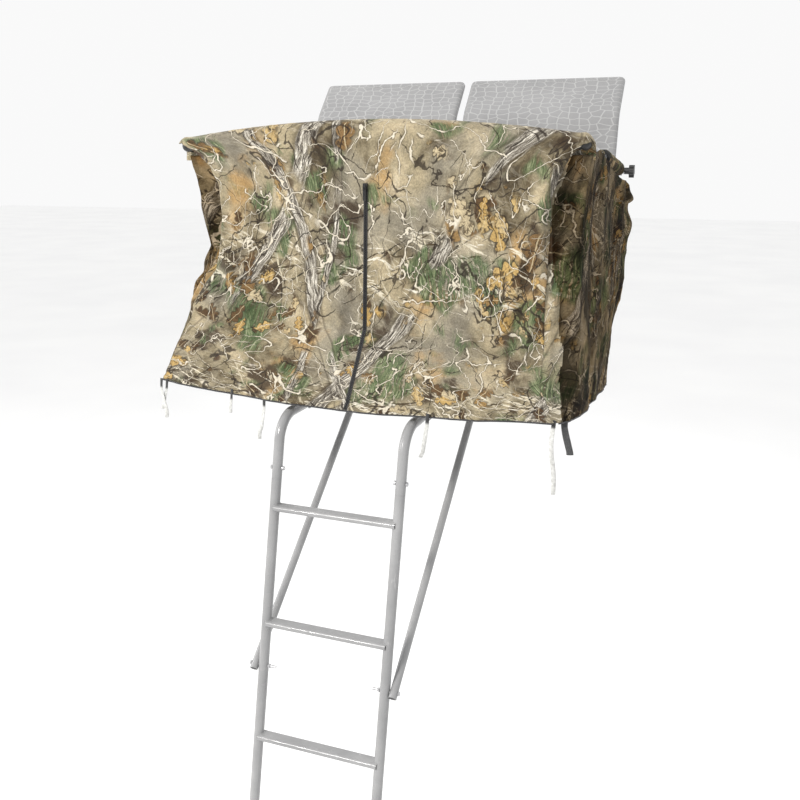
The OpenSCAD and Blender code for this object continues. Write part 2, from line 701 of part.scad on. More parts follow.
module zip_pull() color(black) translate(slider_at) rotate([-zip_tilt, 0, 0]) {
    translate([-3.6, -4.8, 1.5]) rotate([0, 90, 0]) cylinder(h = 7.2, d = 2.06);
    for (s = [-1, 1]) translate([s * 3.6 - 1, -6, -9]) cube([2, 2, 11.7]);
    translate([-5, -6, -40]) cube([10, 2, 31.01]);
}

hem_d = 6;
hem_z = rung_z + 321;
module hem_cord() color(black) {
    y = rung_y + 94;
    x = cloth_x - 4;
    bar([-x, y, hem_z], [x, y, hem_z], hem_d);
    for (side = [-1, 1]) translate([side * x, y, hem_z]) sphere(d = hem_d);
}

// Ties and strap: route points from the hem down, round numbers
function flat_ring(c, w, t) = [for (a = [0:45:315]) c + [w / 2 * cos(a), t / 2 * sin(a), 0]];

module ribbon(route, w, t) {
    n = len(route);
    points = [for (c = route) each flat_ring(c, w, t)];
    sides = [for (i = [0:n - 2]) for (k = [0:7])
        [8 * i + k, 8 * (i + 1) + k, 8 * (i + 1) + (k + 1) % 8, 8 * i + (k + 1) % 8]];
    top = [[for (k = [0:7]) k]];
    low = [[for (k = [7:-1:0]) 8 * (n - 1) + k]];
    polyhedron(points = points, faces = concat(sides, top, low));
}

tie_t = 2;
tie_left_a_route = [[-648, -1416, -282], [-648, -1418, -300], [-645, -1419, -320],
    [-640, -1420, -340], [-635, -1420, -360], [-632, -1420, -380], [-634, -1420, -398]];
tie_left_b_route = [[-630, -1412, -284], [-632, -1413, -302], [-637, -1414, -320],
    [-642, -1414, -338], [-646, -1414, -354], [-650, -1414, -372]];
tie_left_c_route = [[-390, -1412, -296], [-391, -1413, -312], [-393, -1414, -328],
    [-395, -1414, -344], [-396, -1414, -360]];
tie_left_d_route = [[-275, -1412, -312], [-276, -1413, -334], [-279, -1414, -356],
    [-283, -1415, -378], [-287, -1415, -398], [-294, -1415, -416], [-296, -1415, -436]];
tie_right_a_route = [[262, -1412, -312], [261, -1413, -334], [258, -1414, -356],
    [255, -1415, -378], [252, -1415, -398], [249, -1415, -416], [242, -1415, -434]];
tie_right_b_route = [[630, -1412, -294], [628, -1413, -318], [626, -1414, -343],
    [627, -1415, -368], [630, -1415, -393], [634, -1415, -418], [637, -1415, -443],
    [638, -1415, -468], [638, -1415, -498]];
strap_route = [[656, -1388, -302], [657, -1378, -320], [658, -1364, -338], [659, -1350, -354],
    [660, -1336, -370], [661, -1322, -386], [662, -1308, -402], [662, -1300, -414]];

module tie_left_a() color("White") ribbon(tie_left_a_route, 12, tie_t);
module tie_left_b() color("White") ribbon(tie_left_b_route, 12, tie_t);
module tie_left_c() color("White") ribbon(tie_left_c_route, 10, tie_t);
module tie_left_d() color("White") ribbon(tie_left_d_route, 12, tie_t);
module tie_right_a() color("White") ribbon(tie_right_a_route, 12, tie_t);
module tie_right_b() color("White") ribbon(tie_right_b_route, 13, tie_t);
module strap_right() color("Black") ribbon(strap_route, 20, 3);

ladder_upper_rails();
ladder_upper_rungs();
ladder_lower_rails();
ladder_lower_rungs();
ladder_spigots();
ladder_joint_bolts();
ladder_feet();
ladder_stubs();
stub_saddles();
stub_bolts();
brace_left();
brace_right();
brace_bolts();
brace_nuts();
platform_frame();
deck_grate();
back_hoop_left();
back_hoop_right();
hoop_sockets();
hoop_bolts();
back_sleeve_left();
back_sleeve_right();
seat_rear_bar();
seat_bar_brackets();
seat_front_stand();
stand_feet();
stand_screws();
seat_frame_left();
seat_frame_right();
seat_sling_left();
seat_sling_right();
tree_cross_bar();
tree_arms();
tree_cradle();
cradle_bolts();
rail_crossbar();
rail_arms();
rail_corner_fittings();
corner_screws();
rail_pad();
arm_pad_left();
arm_pad_right();
pivot_bolts();
pivot_washers();
knob_left();
knob_right();
blind_front();
blind_side_left();
blind_side_right();
zip_tape();
zip_slider();
zip_pull();
hem_cord();
tie_left_a();
tie_left_b();
tie_left_c();
tie_left_d();
tie_right_a();
tie_right_b();
strap_right();
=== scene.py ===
"""Looks of the two-seat ladder tree stand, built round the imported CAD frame. Metres, frame axes:
+Z up, the ladder on the -Y side, the trunk on the +Y side, origin on the trunk's face."""
import json
import math

import bmesh
import bpy
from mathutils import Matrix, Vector, noise


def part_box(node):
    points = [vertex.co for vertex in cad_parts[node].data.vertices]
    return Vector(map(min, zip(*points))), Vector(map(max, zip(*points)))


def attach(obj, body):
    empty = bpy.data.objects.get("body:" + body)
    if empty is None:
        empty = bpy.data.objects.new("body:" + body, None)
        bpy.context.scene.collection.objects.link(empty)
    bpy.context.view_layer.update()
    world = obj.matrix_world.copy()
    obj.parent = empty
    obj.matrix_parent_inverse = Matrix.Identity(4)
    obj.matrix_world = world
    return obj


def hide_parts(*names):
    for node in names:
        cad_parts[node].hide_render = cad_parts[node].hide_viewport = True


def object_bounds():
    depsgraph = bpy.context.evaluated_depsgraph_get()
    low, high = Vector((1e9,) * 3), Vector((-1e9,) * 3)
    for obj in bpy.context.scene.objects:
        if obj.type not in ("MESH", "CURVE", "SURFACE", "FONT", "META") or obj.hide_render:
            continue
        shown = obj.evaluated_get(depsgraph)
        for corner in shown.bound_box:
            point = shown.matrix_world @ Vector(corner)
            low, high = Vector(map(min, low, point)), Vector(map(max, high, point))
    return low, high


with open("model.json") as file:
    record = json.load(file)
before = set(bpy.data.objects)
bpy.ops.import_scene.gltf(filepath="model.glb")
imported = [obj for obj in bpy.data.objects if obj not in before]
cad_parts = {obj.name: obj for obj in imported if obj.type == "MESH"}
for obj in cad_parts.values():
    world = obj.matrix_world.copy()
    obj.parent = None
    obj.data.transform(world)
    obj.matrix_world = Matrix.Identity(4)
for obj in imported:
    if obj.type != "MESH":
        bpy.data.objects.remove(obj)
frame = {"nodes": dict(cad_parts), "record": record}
cad_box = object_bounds()
GROUND = cad_box[0][2]
PIVOT = next(Vector(j["pos_m"]) for j in frame["record"]["behaviour"]["joints"] if j["name"] == "rail_lift")


# ---------------------------------------------------------------- small helpers
def mix(a, b, share):
    return a + (b - a) * share


def clamp(value, low=0.0, high=1.0):
    return max(low, min(high, value))


def smooth(value, low, high):
    """0 below low, 1 above high, and an S-curve between them; low may be the larger."""
    t = clamp((value - low) / (high - low))
    return t * t * (3 - 2 * t)


def hump(value, middle, width):
    """1 at middle, falling to nothing within a few widths."""
    return math.exp(-((value - middle) / width) ** 2)


def along(stops, value):
    """The value of a smooth curve through stops, a list of (place, height), at value."""
    if value <= stops[0][0]:
        return stops[0][1]
    for (x0, y0), (x1, y1) in zip(stops, stops[1:]):
        if value <= x1:
            return mix(y0, y1, smooth(value, x0, x1) * 0.5 + clamp((value - x0) / (x1 - x0)) * 0.5)
    return stops[-1][1]


def new_object(name, mesh, material, body):
    piece = bpy.data.objects.new(name, mesh)
    bpy.context.scene.collection.objects.link(piece)
    mesh.materials.append(material)
    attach(piece, body)
    return piece


def mesh_of(name, points, faces, uvs=None, even=True):
    mesh = bpy.data.meshes.new(name)
    mesh.from_pydata([tuple(p) for p in points], [], faces)
    if uvs:
        layer = mesh.uv_layers.new(name="UVMap")
        for loop in mesh.loops:
            layer.data[loop.index].uv = uvs[loop.vertex_index]
    mesh.polygons.foreach_set("use_smooth", [even] * len(mesh.polygons))
    mesh.update()
    return mesh


def grid_mesh(name, columns, rows, place, cloth):
    """A sheet of columns by rows quads. place(a, b) gives a point for a and b from 0 to 1, and
    cloth(a, b) gives where it lies on the flat cloth."""
    shares = [(i / columns, j / rows) for j in range(rows + 1) for i in range(columns + 1)]
    faces = []
    for j in range(rows):
        for i in range(columns):
            k = j * (columns + 1) + i
            faces.append((k, k + 1, k + columns + 2, k + columns + 1))
    return mesh_of(name, [place(a, b) for a, b in shares], faces, [cloth(a, b) for a, b in shares])


def ring_faces(rings, sides, first=0, closed=False):
    """Quads between rings of sides points, from point first on; closed joins the last ring to the first."""
    faces = []
    for j in range(rings if closed else rings - 1):
        low, high = first + j * sides, first + (j + 1) % rings * sides
        for i in range(sides):
            k = (i + 1) % sides
            faces.append((low + i, low + k, high + k, high + i))
    return faces


def ring_points(centre, radius, side, up, sides):
    """Points of a circle in the plane of side and up."""
    turns = [2 * math.pi * i / sides for i in range(sides)]
    return [centre + radius * (math.cos(turn) * side + math.sin(turn) * up) for turn in turns]


def end_faces(rings, sides):
    """The two flat ends of a row of rings."""
    return [tuple(range(sides - 1, -1, -1)), tuple(range((rings - 1) * sides, rings * sides))]


def thicken(piece, thickness, offset=0.0):
    solid = piece.modifiers.new("thickness", "SOLIDIFY")
    solid.thickness = thickness
    solid.offset = offset
    solid.use_even_offset = False


def frames_along(path, up):
    """For each point of a path: the point, the way along it, and two sideways directions."""
    rows = []
    for i, point in enumerate(path):
        way = (path[min(i + 1, len(path) - 1)] - path[max(i - 1, 0)]).normalized()
        side = way.cross(up)
        if side.length < 1e-4:
            side = way.cross(Vector((0, 1, 0)))
        side.normalize()
        rows.append((point, way, side, side.cross(way).normalized()))
    return rows


def smooth_path(points, steps):
    """A Catmull-Rom curve through points, with steps pieces between each two of them."""
    points = [Vector(p) for p in points]
    ends = [2 * points[0] - points[1]] + points + [2 * points[-1] - points[-2]]
    path = []
    for i in range(1, len(ends) - 2):
        p0, p1, p2, p3 = ends[i - 1:i + 3]
        for k in range(steps):
            t = k / steps
            path.append(0.5 * (2 * p1 + (p2 - p0) * t + (2 * p0 - 5 * p1 + 4 * p2 - p3) * t ** 2
                               + (3 * p1 - p0 - 3 * p2 + p3) * t ** 3))
    return path + [points[-1]]


def tube_mesh(name, path, radius, sides, up):
    """A round tube along a path, with flat ends."""
    rows = frames_along(path, up)
    points, uvs = [], []
    length = 0.0
    for j, (point, _, side, out) in enumerate(rows):
        length += (point - rows[j - 1][0]).length if j else 0
        points += ring_points(point, radius, side, out, sides)
        uvs += [(length, i / sides * 0.16) for i in range(sides)]
    faces = ring_faces(len(rows), sides) + end_faces(len(rows), sides)
    return mesh_of(name, points, faces, uvs)


# ---------------------------------------------------------------- camera and studio
CAMERA_PLACE = Vector((1.0247, -3.7121, 0.4065))
CAMERA_DOWN, CAMERA_LEFT = math.radians(15.316), math.radians(20.2235)
CAMERA_LENS = 39.02


def camera():
    data = bpy.data.cameras.new("camera")
    data.lens = CAMERA_LENS
    data.sensor_width = 36
    data.clip_end = 200
    eye = bpy.data.objects.new("camera", data)
    eye.location = CAMERA_PLACE
    eye.rotation_euler = (math.radians(90) - CAMERA_DOWN, 0, CAMERA_LEFT)
    bpy.context.scene.collection.objects.link(eye)
    bpy.context.scene.camera = eye


def softbox(name, place, aim, size, power, colour=(1, 1, 1)):
    data = bpy.data.lights.new(name, "AREA")
    data.shape = "DISK"
    data.size = size
    data.energy = power
    data.color = colour
    lamp = bpy.data.objects.new(name, data)
    lamp.location = place
    lamp.rotation_euler = (Vector(aim) - Vector(place)).to_track_quat("-Z", "Y").to_euler()
    bpy.context.scene.collection.objects.link(lamp)


def studio():
    world = bpy.data.worlds.new("studio")
    world.use_nodes = True
    world.node_tree.nodes["Background"].inputs["Color"].default_value = (1, 1, 1, 1)
    world.node_tree.nodes["Background"].inputs["Strength"].default_value = 0.95
    bpy.context.scene.world = world
    bpy.context.scene.view_settings.view_transform = "Standard"
    softbox("key", (-2.6, -6.6, 4.2), aim=(0, -1, -0.3), size=1.6, power=480, colour=(1, 0.98, 0.95))
    softbox("fill", (-6.0, -2.0, 1.5), aim=(0, -0.8, -0.5), size=3.0, power=90)
    softbox("back", (2.0, 5.0, 4.0), aim=(0, -0.6, 0), size=3.0, power=160)
    plane = 60.0
    mesh = mesh_of("floor", [(-plane, -plane, GROUND), (plane, -plane, GROUND), (plane, plane, GROUND),
                             (-plane, plane, GROUND)], [(0, 1, 2, 3)])
    floor = bpy.data.objects.new("floor", mesh)
    bpy.context.scene.collection.objects.link(floor)
    look = Look("floor_paint", roughness=0.9)
    tone = look.noise(scale=0.5, detail=2)
    look.colour(look.ramp(tone, [(0.3, grey(0.93)), (0.7, grey(0.97, 0.965))]))
    mesh.materials.append(look.material)


# ---------------------------------------------------------------- materials
class Look:
    """A procedural material. Each method adds a node and returns its output."""

    def __init__(self, name, roughness=0.5, metallic=0.0, specular=0.5, sheen=0.0):
        self.material = bpy.data.materials.new(name)
        self.material.use_nodes = True
        self.tree = self.material.node_tree
        self.shader = self.tree.nodes["Principled BSDF"]
        self.shader.inputs["Roughness"].default_value = roughness
        self.shader.inputs["Metallic"].default_value = metallic
        self.shader.inputs["Specular IOR Level"].default_value = specular
        self.shader.inputs["Sheen Weight"].default_value = sheen
        self.where = self.tree.nodes.new("ShaderNodeTexCoord").outputs["Object"]

    def set(self, socket, value):
        if hasattr(value, "node"):
            self.tree.links.new(value, socket)
        elif isinstance(value, tuple) and len(value) == 3 and socket.type == "RGBA":
            socket.default_value = (*value, 1)
        else:
            socket.default_value = value

    def cloth(self):
        """Textures after this follow the flat cloth instead of the frame."""
        self.where = self.tree.nodes.new("ShaderNodeUVMap").outputs["UV"]

    def node(self, kind, inputs, **settings):
        """Add a shader node with these inputs, by name or number, and settings; returns its outputs."""
        node = self.tree.nodes.new("ShaderNode" + kind)
        for name, value in settings.items():
            setattr(node, name, value)
        for name, value in inputs.items():
            self.set(node.inputs[name], value)
        return node.outputs

    def math(self, operation, a, b=0.0):
        return self.node("Math", {0: a, 1: b}, operation=operation)[0]

    def times(self, a, b):
        return self.math("MULTIPLY", a, b)

    def plus(self, a, b):
        return self.math("ADD", a, b)

    def minus(self, a, b):
        return self.math("SUBTRACT", a, b)

    def size(self, a):
        return self.math("ABSOLUTE", a)

    def wave(self, a, turns):
        """The sine of a times turns."""
        return self.math("SINE", self.times(a, turns))

    def vector(self, operation, a, b):
        return self.node("VectorMath", {0: a, 1: b}, operation=operation)["Vector"]

    def noise(self, scale, detail=3.0, where=None, roughness=0.5, colour=False):
        inputs = {"Vector": where or self.where, "Scale": scale, "Detail": detail, "Roughness": roughness}
        return self.node("TexNoise", inputs)["Color" if colour else "Fac"]

    def voronoi(self, scale, feature="F1", where=None, randomness=1.0, flat=True):
        inputs = {"Vector": where or self.where, "Scale": scale, "Randomness": randomness}
        return self.node("TexVoronoi", inputs, feature=feature, voronoi_dimensions="2D" if flat else "3D")

    def mapping(self, scale=(1, 1, 1), turn=0.0, shift=(0, 0, 0), where=None):
        """The place turned about Z, then scaled and shifted."""
        place = where or self.where
        if turn:
            place = self.node("Mapping", {"Vector": place, "Rotation": (0, 0, turn)})[0]
        if scale != (1, 1, 1) or shift != (0, 0, 0):
            place = self.node("Mapping", {"Vector": place, "Location": shift, "Scale": scale})[0]
        return place

    def warp(self, scale, amount, where=None):
        """The place, pushed about by noise of this scale, by up to half of amount."""
        push = self.noise(scale, 3, where=where, colour=True)
        push = self.vector("SUBTRACT", push, (0.5, 0.5, 0.5))
        push = self.vector("MULTIPLY", push, (amount, amount, amount))
        return self.vector("ADD", where or self.where, push)

    def split(self, vector):
        """The x, y and z of a vector."""
        return self.node("SeparateXYZ", {0: vector})

    def turned(self, vector, angle):
        """The vector turned about Z."""
        return self.node("VectorRotate", {"Vector": vector, "Angle": angle}, rotation_type="Z_AXIS")[0]

    def step(self, value, low, high, top=1.0):
        """0 at low and top at high, smoothly; low may be the larger."""
        start, end = (top, 0.0) if low > high else (0.0, top)
        inputs = {"Value": value, "From Min": min(low, high), "From Max": max(low, high),
                  "To Min": start, "To Max": end}
        return self.node("MapRange", inputs, interpolation_type="SMOOTHSTEP")["Result"]

    def ramp(self, value, stops):
        node = self.tree.nodes.new("ShaderNodeValToRGB")
        self.set(node.inputs[0], value)
        bar = node.color_ramp
        while len(bar.elements) < len(stops):
            bar.elements.new(0.5)
        for element, (place, colour) in zip(bar.elements, stops):
            element.position = place
            element.color = (*colour, 1)
        return node.outputs["Color"]

    def over(self, low, high, share, kind="MIX"):
        """high laid over low by share."""
        return self.node("Mix", {0: share, 6: low, 7: high}, data_type="RGBA", blend_type=kind)[2]

    def colour(self, value):
        self.set(self.shader.inputs["Base Color"], value)

    def rough(self, value):
        self.set(self.shader.inputs["Roughness"], value)

    def bump(self, height, distance, strength=1.0):
        normal = self.shader.inputs["Normal"]
        inputs = {"Strength": strength, "Distance": distance, "Height": height}
        if normal.is_linked:
            inputs["Normal"] = normal.links[0].from_socket
        self.set(normal, self.node("Bump", inputs)["Normal"])


def weave(look, pitch, depth):
    """A plain weave: threads over and under each other at this pitch."""
    x, y, _ = look.split(look.where)
    turns = 2 * math.pi / pitch
    look.bump(look.times(look.wave(x, turns), look.wave(y, turns)), depth)


def ribs(look, place, pitch, depth, strength):
    """Woven ribs across place; returns their height."""
    height = look.wave(place, 2 * math.pi / pitch)
    look.bump(height, depth, strength)
    return height


def grey(tone, blue=None):
    """A grey, a little bluer or warmer where blue is given."""
    return (tone, tone, tone if blue is None else blue)


def painted_steel():
    """Pale grey powder coat with its orange peel, dust and worn spots."""
    look = Look("painted_steel", roughness=0.42, specular=0.45)
    cloud = look.noise(7, 5, roughness=0.6)
    tone = look.ramp(cloud, [(0.25, grey(0.235, 0.238)), (0.55, grey(0.29, 0.293)), (0.8, grey(0.36))])
    specks = look.step(look.noise(260, 4, roughness=0.7), 0.66, 0.74, 0.5)
    tone = look.over(tone, (0.22, 0.215, 0.21), specks)
    scuffs = look.noise(30, 6, where=look.mapping(scale=(1, 1, 0.12)), roughness=0.75)
    tone = look.over(tone, grey(0.56), look.step(scuffs, 0.62, 0.7, 0.45))
    look.colour(tone)
    look.rough(look.step(look.noise(18, 4), 0.2, 0.8, 0.35))
    look.bump(look.noise(900, 2), 0.0003, 0.35)
    look.bump(cloud, 0.001, 0.3)
    return look.material


def zinc_steel():
    look = Look("zinc_steel", roughness=0.35, metallic=0.9)
    tone = look.noise(120, 5, roughness=0.7)
    look.colour(look.ramp(tone, [(0.3, grey(0.34, 0.35)), (0.7, grey(0.62, 0.63))]))
    look.rough(look.ramp(look.noise(60, 3), [(0.3, grey(0.28)), (0.7, grey(0.5))]))
    look.bump(tone, 0.0004, 0.5)
    return look.material


def black_plastic():
    look = Look("black_plastic", roughness=0.48)
    grain = look.noise(700, 3)
    look.colour(look.ramp(look.noise(35, 4), [(0.3, grey(0.010, 0.011)), (0.8, grey(0.028))]))
    look.rough(look.ramp(grain, [(0.2, grey(0.38)), (0.8, grey(0.6))]))
    look.bump(grain, 0.0003, 0.5)
    return look.material


def black_webbing():
    look = Look("black_webbing", roughness=0.85, sheen=0.3)
    look.cloth()
    x, y, _ = look.split(look.where)
    height = ribs(look, look.plus(x, y), pitch=0.0016, depth=0.0004, strength=0.8)
    look.colour(look.ramp(height, [(0.0, grey(0.006, 0.007)), (1.0, grey(0.03, 0.032))]))
    return look.material


def tie_ribbon():
    """Pale ribbon, black where it is sewn to the hem."""
    look = Look("tie_ribbon", roughness=0.75, sheen=0.2)
    look.cloth()
    y = look.split(look.where)[1]
    ribs(look, y, pitch=0.0018, depth=0.0003, strength=0.6)
    tone = look.ramp(look.noise(90, 4), [(0.3, grey(0.42, 0.40)), (0.7, grey(0.70, 0.68))])
    look.colour(look.over(tone, grey(0.02), look.step(y, 0.040, 0.030)))
    return look.material


def seat_fabric():
    """Grey coated fabric with a paler net of scale lines."""
    look = Look("seat_fabric", roughness=0.7, sheen=0.15)
    look.cloth()
    place = look.warp(9, 0.035)
    edge = look.voronoi(34, "DISTANCE_TO_EDGE", where=look.vector("MULTIPLY", place, (0.75, 1.35, 1)),
                        randomness=0.6)["Distance"]
    lines = look.step(edge, 0.075, 0.025)
    ground = look.ramp(look.noise(5, 4), [(0.3, grey(0.245, 0.248)), (0.7, grey(0.31, 0.312))])
    look.colour(look.over(ground, grey(0.50), look.times(lines, 0.55)))
    look.bump(lines, 0.0006, 0.5)
    weave(look, pitch=0.0022, depth=0.0002)
    return look.material


def foam():
    look = Look("closed_cell_foam", roughness=0.9)
    cells = look.voronoi(420, flat=False)["Distance"]
    look.colour(look.ramp(cells, [(0.1, grey(0.004)), (0.7, grey(0.022))]))
    look.bump(cells, 0.0005, 0.7)
    return look.material


def zone(look, scale, low, high, seed, top=1.0, detail=2):
    """Soft patches of the cloth: 0 outside and top inside."""
    place = look.mapping(shift=(seed, seed * 0.7, 0))
    return look.step(look.noise(scale, detail, where=place), low, high, top)


def gate(look, scale, low, seed):
    """Patches with a sharper edge, in which twigs show."""
    return zone(look, scale, low, low + 0.03, seed * 5)


def twig(look, scale, stretch, turn, seed, width, warped):
    """Long wandering lines, where a stretched noise passes its middle value."""
    place = look.mapping(scale=(1, stretch, 1), turn=turn, shift=(seed, seed * 1.3, 0), where=warped)
    value = look.noise(scale, 1.5, where=place, roughness=0.45)
    return look.step(look.size(look.minus(value, 0.5)), width, width * 0.45)


def camo_ground(look, soft):
    """Khaki, tan, grey and brown, run together."""
    ground = look.ramp(look.noise(4.6, 7, where=soft, roughness=0.66), [
        (0.32, (0.035, 0.027, 0.017)), (0.41, (0.115, 0.095, 0.060)), (0.475, (0.225, 0.200, 0.140)),
        (0.54, (0.325, 0.290, 0.205)), (0.62, (0.45, 0.395, 0.285)), (0.72, (0.58, 0.545, 0.44))])
    for tone, scale, low, high, seed, top, detail in (
            ((0.27, 0.265, 0.235), 3.1, 0.47, 0.60, 5.0, 0.55, 5),
            ((0.40, 0.265, 0.115), 3.7, 0.56, 0.66, 13.0, 0.75, 5),
            ((0.040, 0.026, 0.016), 6.0, 0.56, 0.64, 9.0, 0.9, 6)):
        ground = look.over(ground, tone, zone(look, scale, low, high, seed, top, detail))
    return ground


def camo_brush(look, ground, soft):
    """Bands of crossed grass and brush."""
    y = look.split(look.where)[1]
    band = look.wave(look.plus(y, look.times(look.noise(3, 2), 0.16)), 2 * math.pi / 0.46)
    share = look.plus(look.times(look.step(band, 0.10, 0.8), 0.95), 0.12)
    for turn, seed, tone, low in (
            (0.35, 1, (0.62, 0.60, 0.52), 0.57), (-0.55, 2, (0.035, 0.03, 0.022), 0.58),
            (1.0, 3, (0.50, 0.47, 0.38), 0.58), (-0.12, 4, (0.07, 0.055, 0.035), 0.575),
            (0.15, 5, (0.72, 0.71, 0.66), 0.615)):
        place = look.mapping(scale=(0.13, 1.7, 1), turn=turn, shift=(seed, seed, 0), where=soft)
        stroke = look.noise(44, 4, where=place, roughness=0.65)
        ground = look.over(ground, tone, look.times(look.step(stroke, low, low + 0.04), share))
    return ground


def camo_tufts(look, ground, soft):
    """Green tufts of blades."""
    for scale, seed, turn in ((4.2, 2.0, 0.25), (6.1, 17.0, -0.3)):
        tuft = zone(look, scale, 0.555, 0.64, seed)
        place = look.mapping(scale=(1.6, 0.16, 1), turn=turn, where=soft)
        blades = look.noise(60, 4, where=place, roughness=0.7)
        green = look.ramp(blades, [(0.38, (0.02, 0.035, 0.018)), (0.50, (0.06, 0.10, 0.045)),
                                   (0.60, (0.17, 0.215, 0.12)), (0.70, (0.40, 0.43, 0.32))])
        ground = look.over(ground, green, look.times(tuft, look.step(blades, 0.38, 0.48, 0.9)))
    return ground


def camo_trunks(look, ground, soft):
    """Leaning trunks of striped bark, each with a dark line along its sides."""
    for turn, pitch, shift, width in ((0.62, 0.57, 0.11, 0.030), (-0.45, 0.91, 0.31, 0.022),
                                      (0.12, 1.17, 0.72, 0.014)):
        across = look.split(look.mapping(turn=turn, where=look.warp(2.2, 0.10)))[0]
        offset = look.math("PINGPONG", look.plus(across, shift + pitch * 20), pitch / 2)
        trunk = look.times(look.step(offset, width, width * 0.80),
                           zone(look, 3.3, 0.46, 0.50, turn * 9 + 3, detail=4))
        place = look.mapping(scale=(3.2, 0.28, 1), turn=turn, where=soft)
        grain = look.noise(48, 7, where=place, roughness=0.85)
        bark = look.ramp(grain, [(0.40, (0.018, 0.015, 0.013)), (0.465, (0.11, 0.10, 0.088)),
                                 (0.52, (0.27, 0.26, 0.235)), (0.575, grey(0.62, 0.59)),
                                 (0.64, grey(0.85, 0.83))])
        ground = look.over(ground, bark, trunk)
        line = look.times(look.step(offset, width * 1.35, width), look.step(offset, width * 0.8, width))
        ground = look.over(ground, (0.03, 0.022, 0.015), look.times(line, 0.5))
    return ground


def camo_leaves(look, ground):
    """Leaves in loose clusters, each with its own colour, turn and midrib."""
    flat = (1.0, 1.0, 0.0)
    for scale, seed, low in ((8, 3.0, 0.56), (13, 8.0, 0.575), (18, 23.0, 0.585)):
        place = look.mapping(shift=(seed, seed * 0.7, 0), where=look.warp(19, 0.026))
        cell = look.voronoi(scale, where=place)
        middle = look.vector("MULTIPLY", cell["Position"], flat)
        local = look.vector("SUBTRACT", look.vector("MULTIPLY", place, flat), middle)
        tint = look.split(cell["Color"])
        x, y, _ = look.split(look.turned(local, look.times(tint[0], 2 * math.pi)))
        x = look.times(x, scale)
        y = look.size(look.times(y, scale))
        lobes = look.times(look.size(look.wave(x, 11.0)), 0.15)
        half = look.minus(look.plus(0.13, lobes), look.times(look.times(x, x), 0.75))
        inside = look.minus(half, y)
        cluster = zone(look, 3.4, low, low + 0.04, seed * 3, 0.88)
        tone = look.ramp(tint[1], [(0.1, (0.07, 0.04, 0.02)), (0.35, (0.20, 0.125, 0.055)),
                                   (0.55, (0.42, 0.285, 0.105)), (0.75, (0.52, 0.38, 0.16)),
                                   (0.92, (0.50, 0.44, 0.31))])
        blotch = look.noise(48, 5, where=place, roughness=0.7)
        tone = look.over(tone, (0.045, 0.028, 0.014), look.step(blotch, 0.49, 0.60, 0.85))
        tone = look.over(tone, (0.62, 0.55, 0.38), look.step(y, 0.020, 0.006, 0.75))
        rim = look.times(look.step(inside, -0.09, -0.02), cluster)
        ground = look.over(ground, (0.025, 0.017, 0.010), look.times(rim, 0.8))
        ground = look.over(ground, tone, look.times(look.step(inside, -0.01, 0.02), cluster))
    return ground


def camo_twigs(look, ground):
    """Bare twigs: dark ones first, then pale ones with a dark shadow under them."""
    knot = look.warp(60, 0.010, where=look.warp(15, 0.030))
    for scale, stretch, turn, seed, width, low in (
            (6.5, 0.34, 1.1, 1.0, 0.0060, 0.45), (8.5, 0.34, -0.9, 4.0, 0.0065, 0.46),
            (11.0, 0.38, 0.3, 6.0, 0.0070, 0.48)):
        line = look.times(twig(look, scale, stretch, turn, seed, width, knot), gate(look, 6.0, low, seed))
        ground = look.over(ground, (0.022, 0.016, 0.012), look.times(line, 0.85))
    for scale, stretch, turn, seed, width, low in (
            (6.2, 0.36, -0.55, 7.0, 0.0052, 0.50), (8.0, 0.38, 0.85, 9.0, 0.0055, 0.51),
            (10.0, 0.42, -1.25, 11.0, 0.0058, 0.52), (13.0, 0.46, 1.5, 12.0, 0.0065, 0.53),
            (15.0, 0.46, 0.2, 15.0, 0.0065, 0.54)):
        where = gate(look, 5.2, low, seed)
        shadow = look.times(twig(look, scale, stretch, turn, seed, width * 2.2, knot), where)
        ground = look.over(ground, (0.03, 0.022, 0.016), look.times(shadow, 0.6))
        line = look.times(twig(look, scale, stretch, turn, seed, width, knot), where)
        ground = look.over(ground, (0.66, 0.64, 0.57), look.times(line, 0.92))
    return ground


def camo(name, shade=1.0):
    """A printed woodland pattern; shade under 1 paints shade into the print: darker and browner, with deep
    patches of painted shade.
    """
    lit = shade == 1
    look = Look(name, roughness=0.85, sheen=0.08 if lit else 0.0, specular=0.2 if lit else 0.05)
    look.cloth()
    soft = look.warp(7, 0.05)
    ground = camo_ground(look, soft)
    ground = camo_brush(look, ground, soft)
    ground = camo_tufts(look, ground, soft)
    ground = camo_trunks(look, ground, soft)
    ground = camo_leaves(look, ground)
    ground = camo_twigs(look, ground)
    # fine brokenness of a print on cloth
    grit = look.ramp(look.noise(170, 5, roughness=0.78), [(0.32, grey(0.20)), (0.68, grey(0.80))])
    ground = look.over(ground, grit, 0.6, "OVERLAY")
    ground = look.over(ground, (0.94, 0.86, 0.74), 0.75, "MULTIPLY")
    # painted shade: shade under 1 darkens and browns the whole print, then lays deep dark patches over it
    if not lit:
        ground = look.over(ground, (shade, shade * 0.88, shade * 0.74), 1.0, "MULTIPLY")
        shade_patch = look.noise(9, 4, roughness=0.6, where=look.mapping(scale=(1.0, 0.45, 1.0)))
        shade_patch = look.ramp(shade_patch, [(0.43, grey(0.12)), (0.57, grey(1.0))])
        ground = look.over(ground, shade_patch, 0.9, "MULTIPLY")
    look.colour(ground)
    look.bump(look.noise(38, 5, roughness=0.62), 0.004, 0.5)
    weave(look, pitch=0.0016, depth=0.00015)
    return look.material


def thread(name, tone):
    look = Look(name, roughness=0.8, sheen=0.2)
    ply = look.noise(900, 2)
    look.colour(look.ramp(ply, [(0.3, tuple(0.6 * c for c in tone)), (0.7, tone)]))
    look.bump(ply, 0.0002, 0.6)
    return look.material


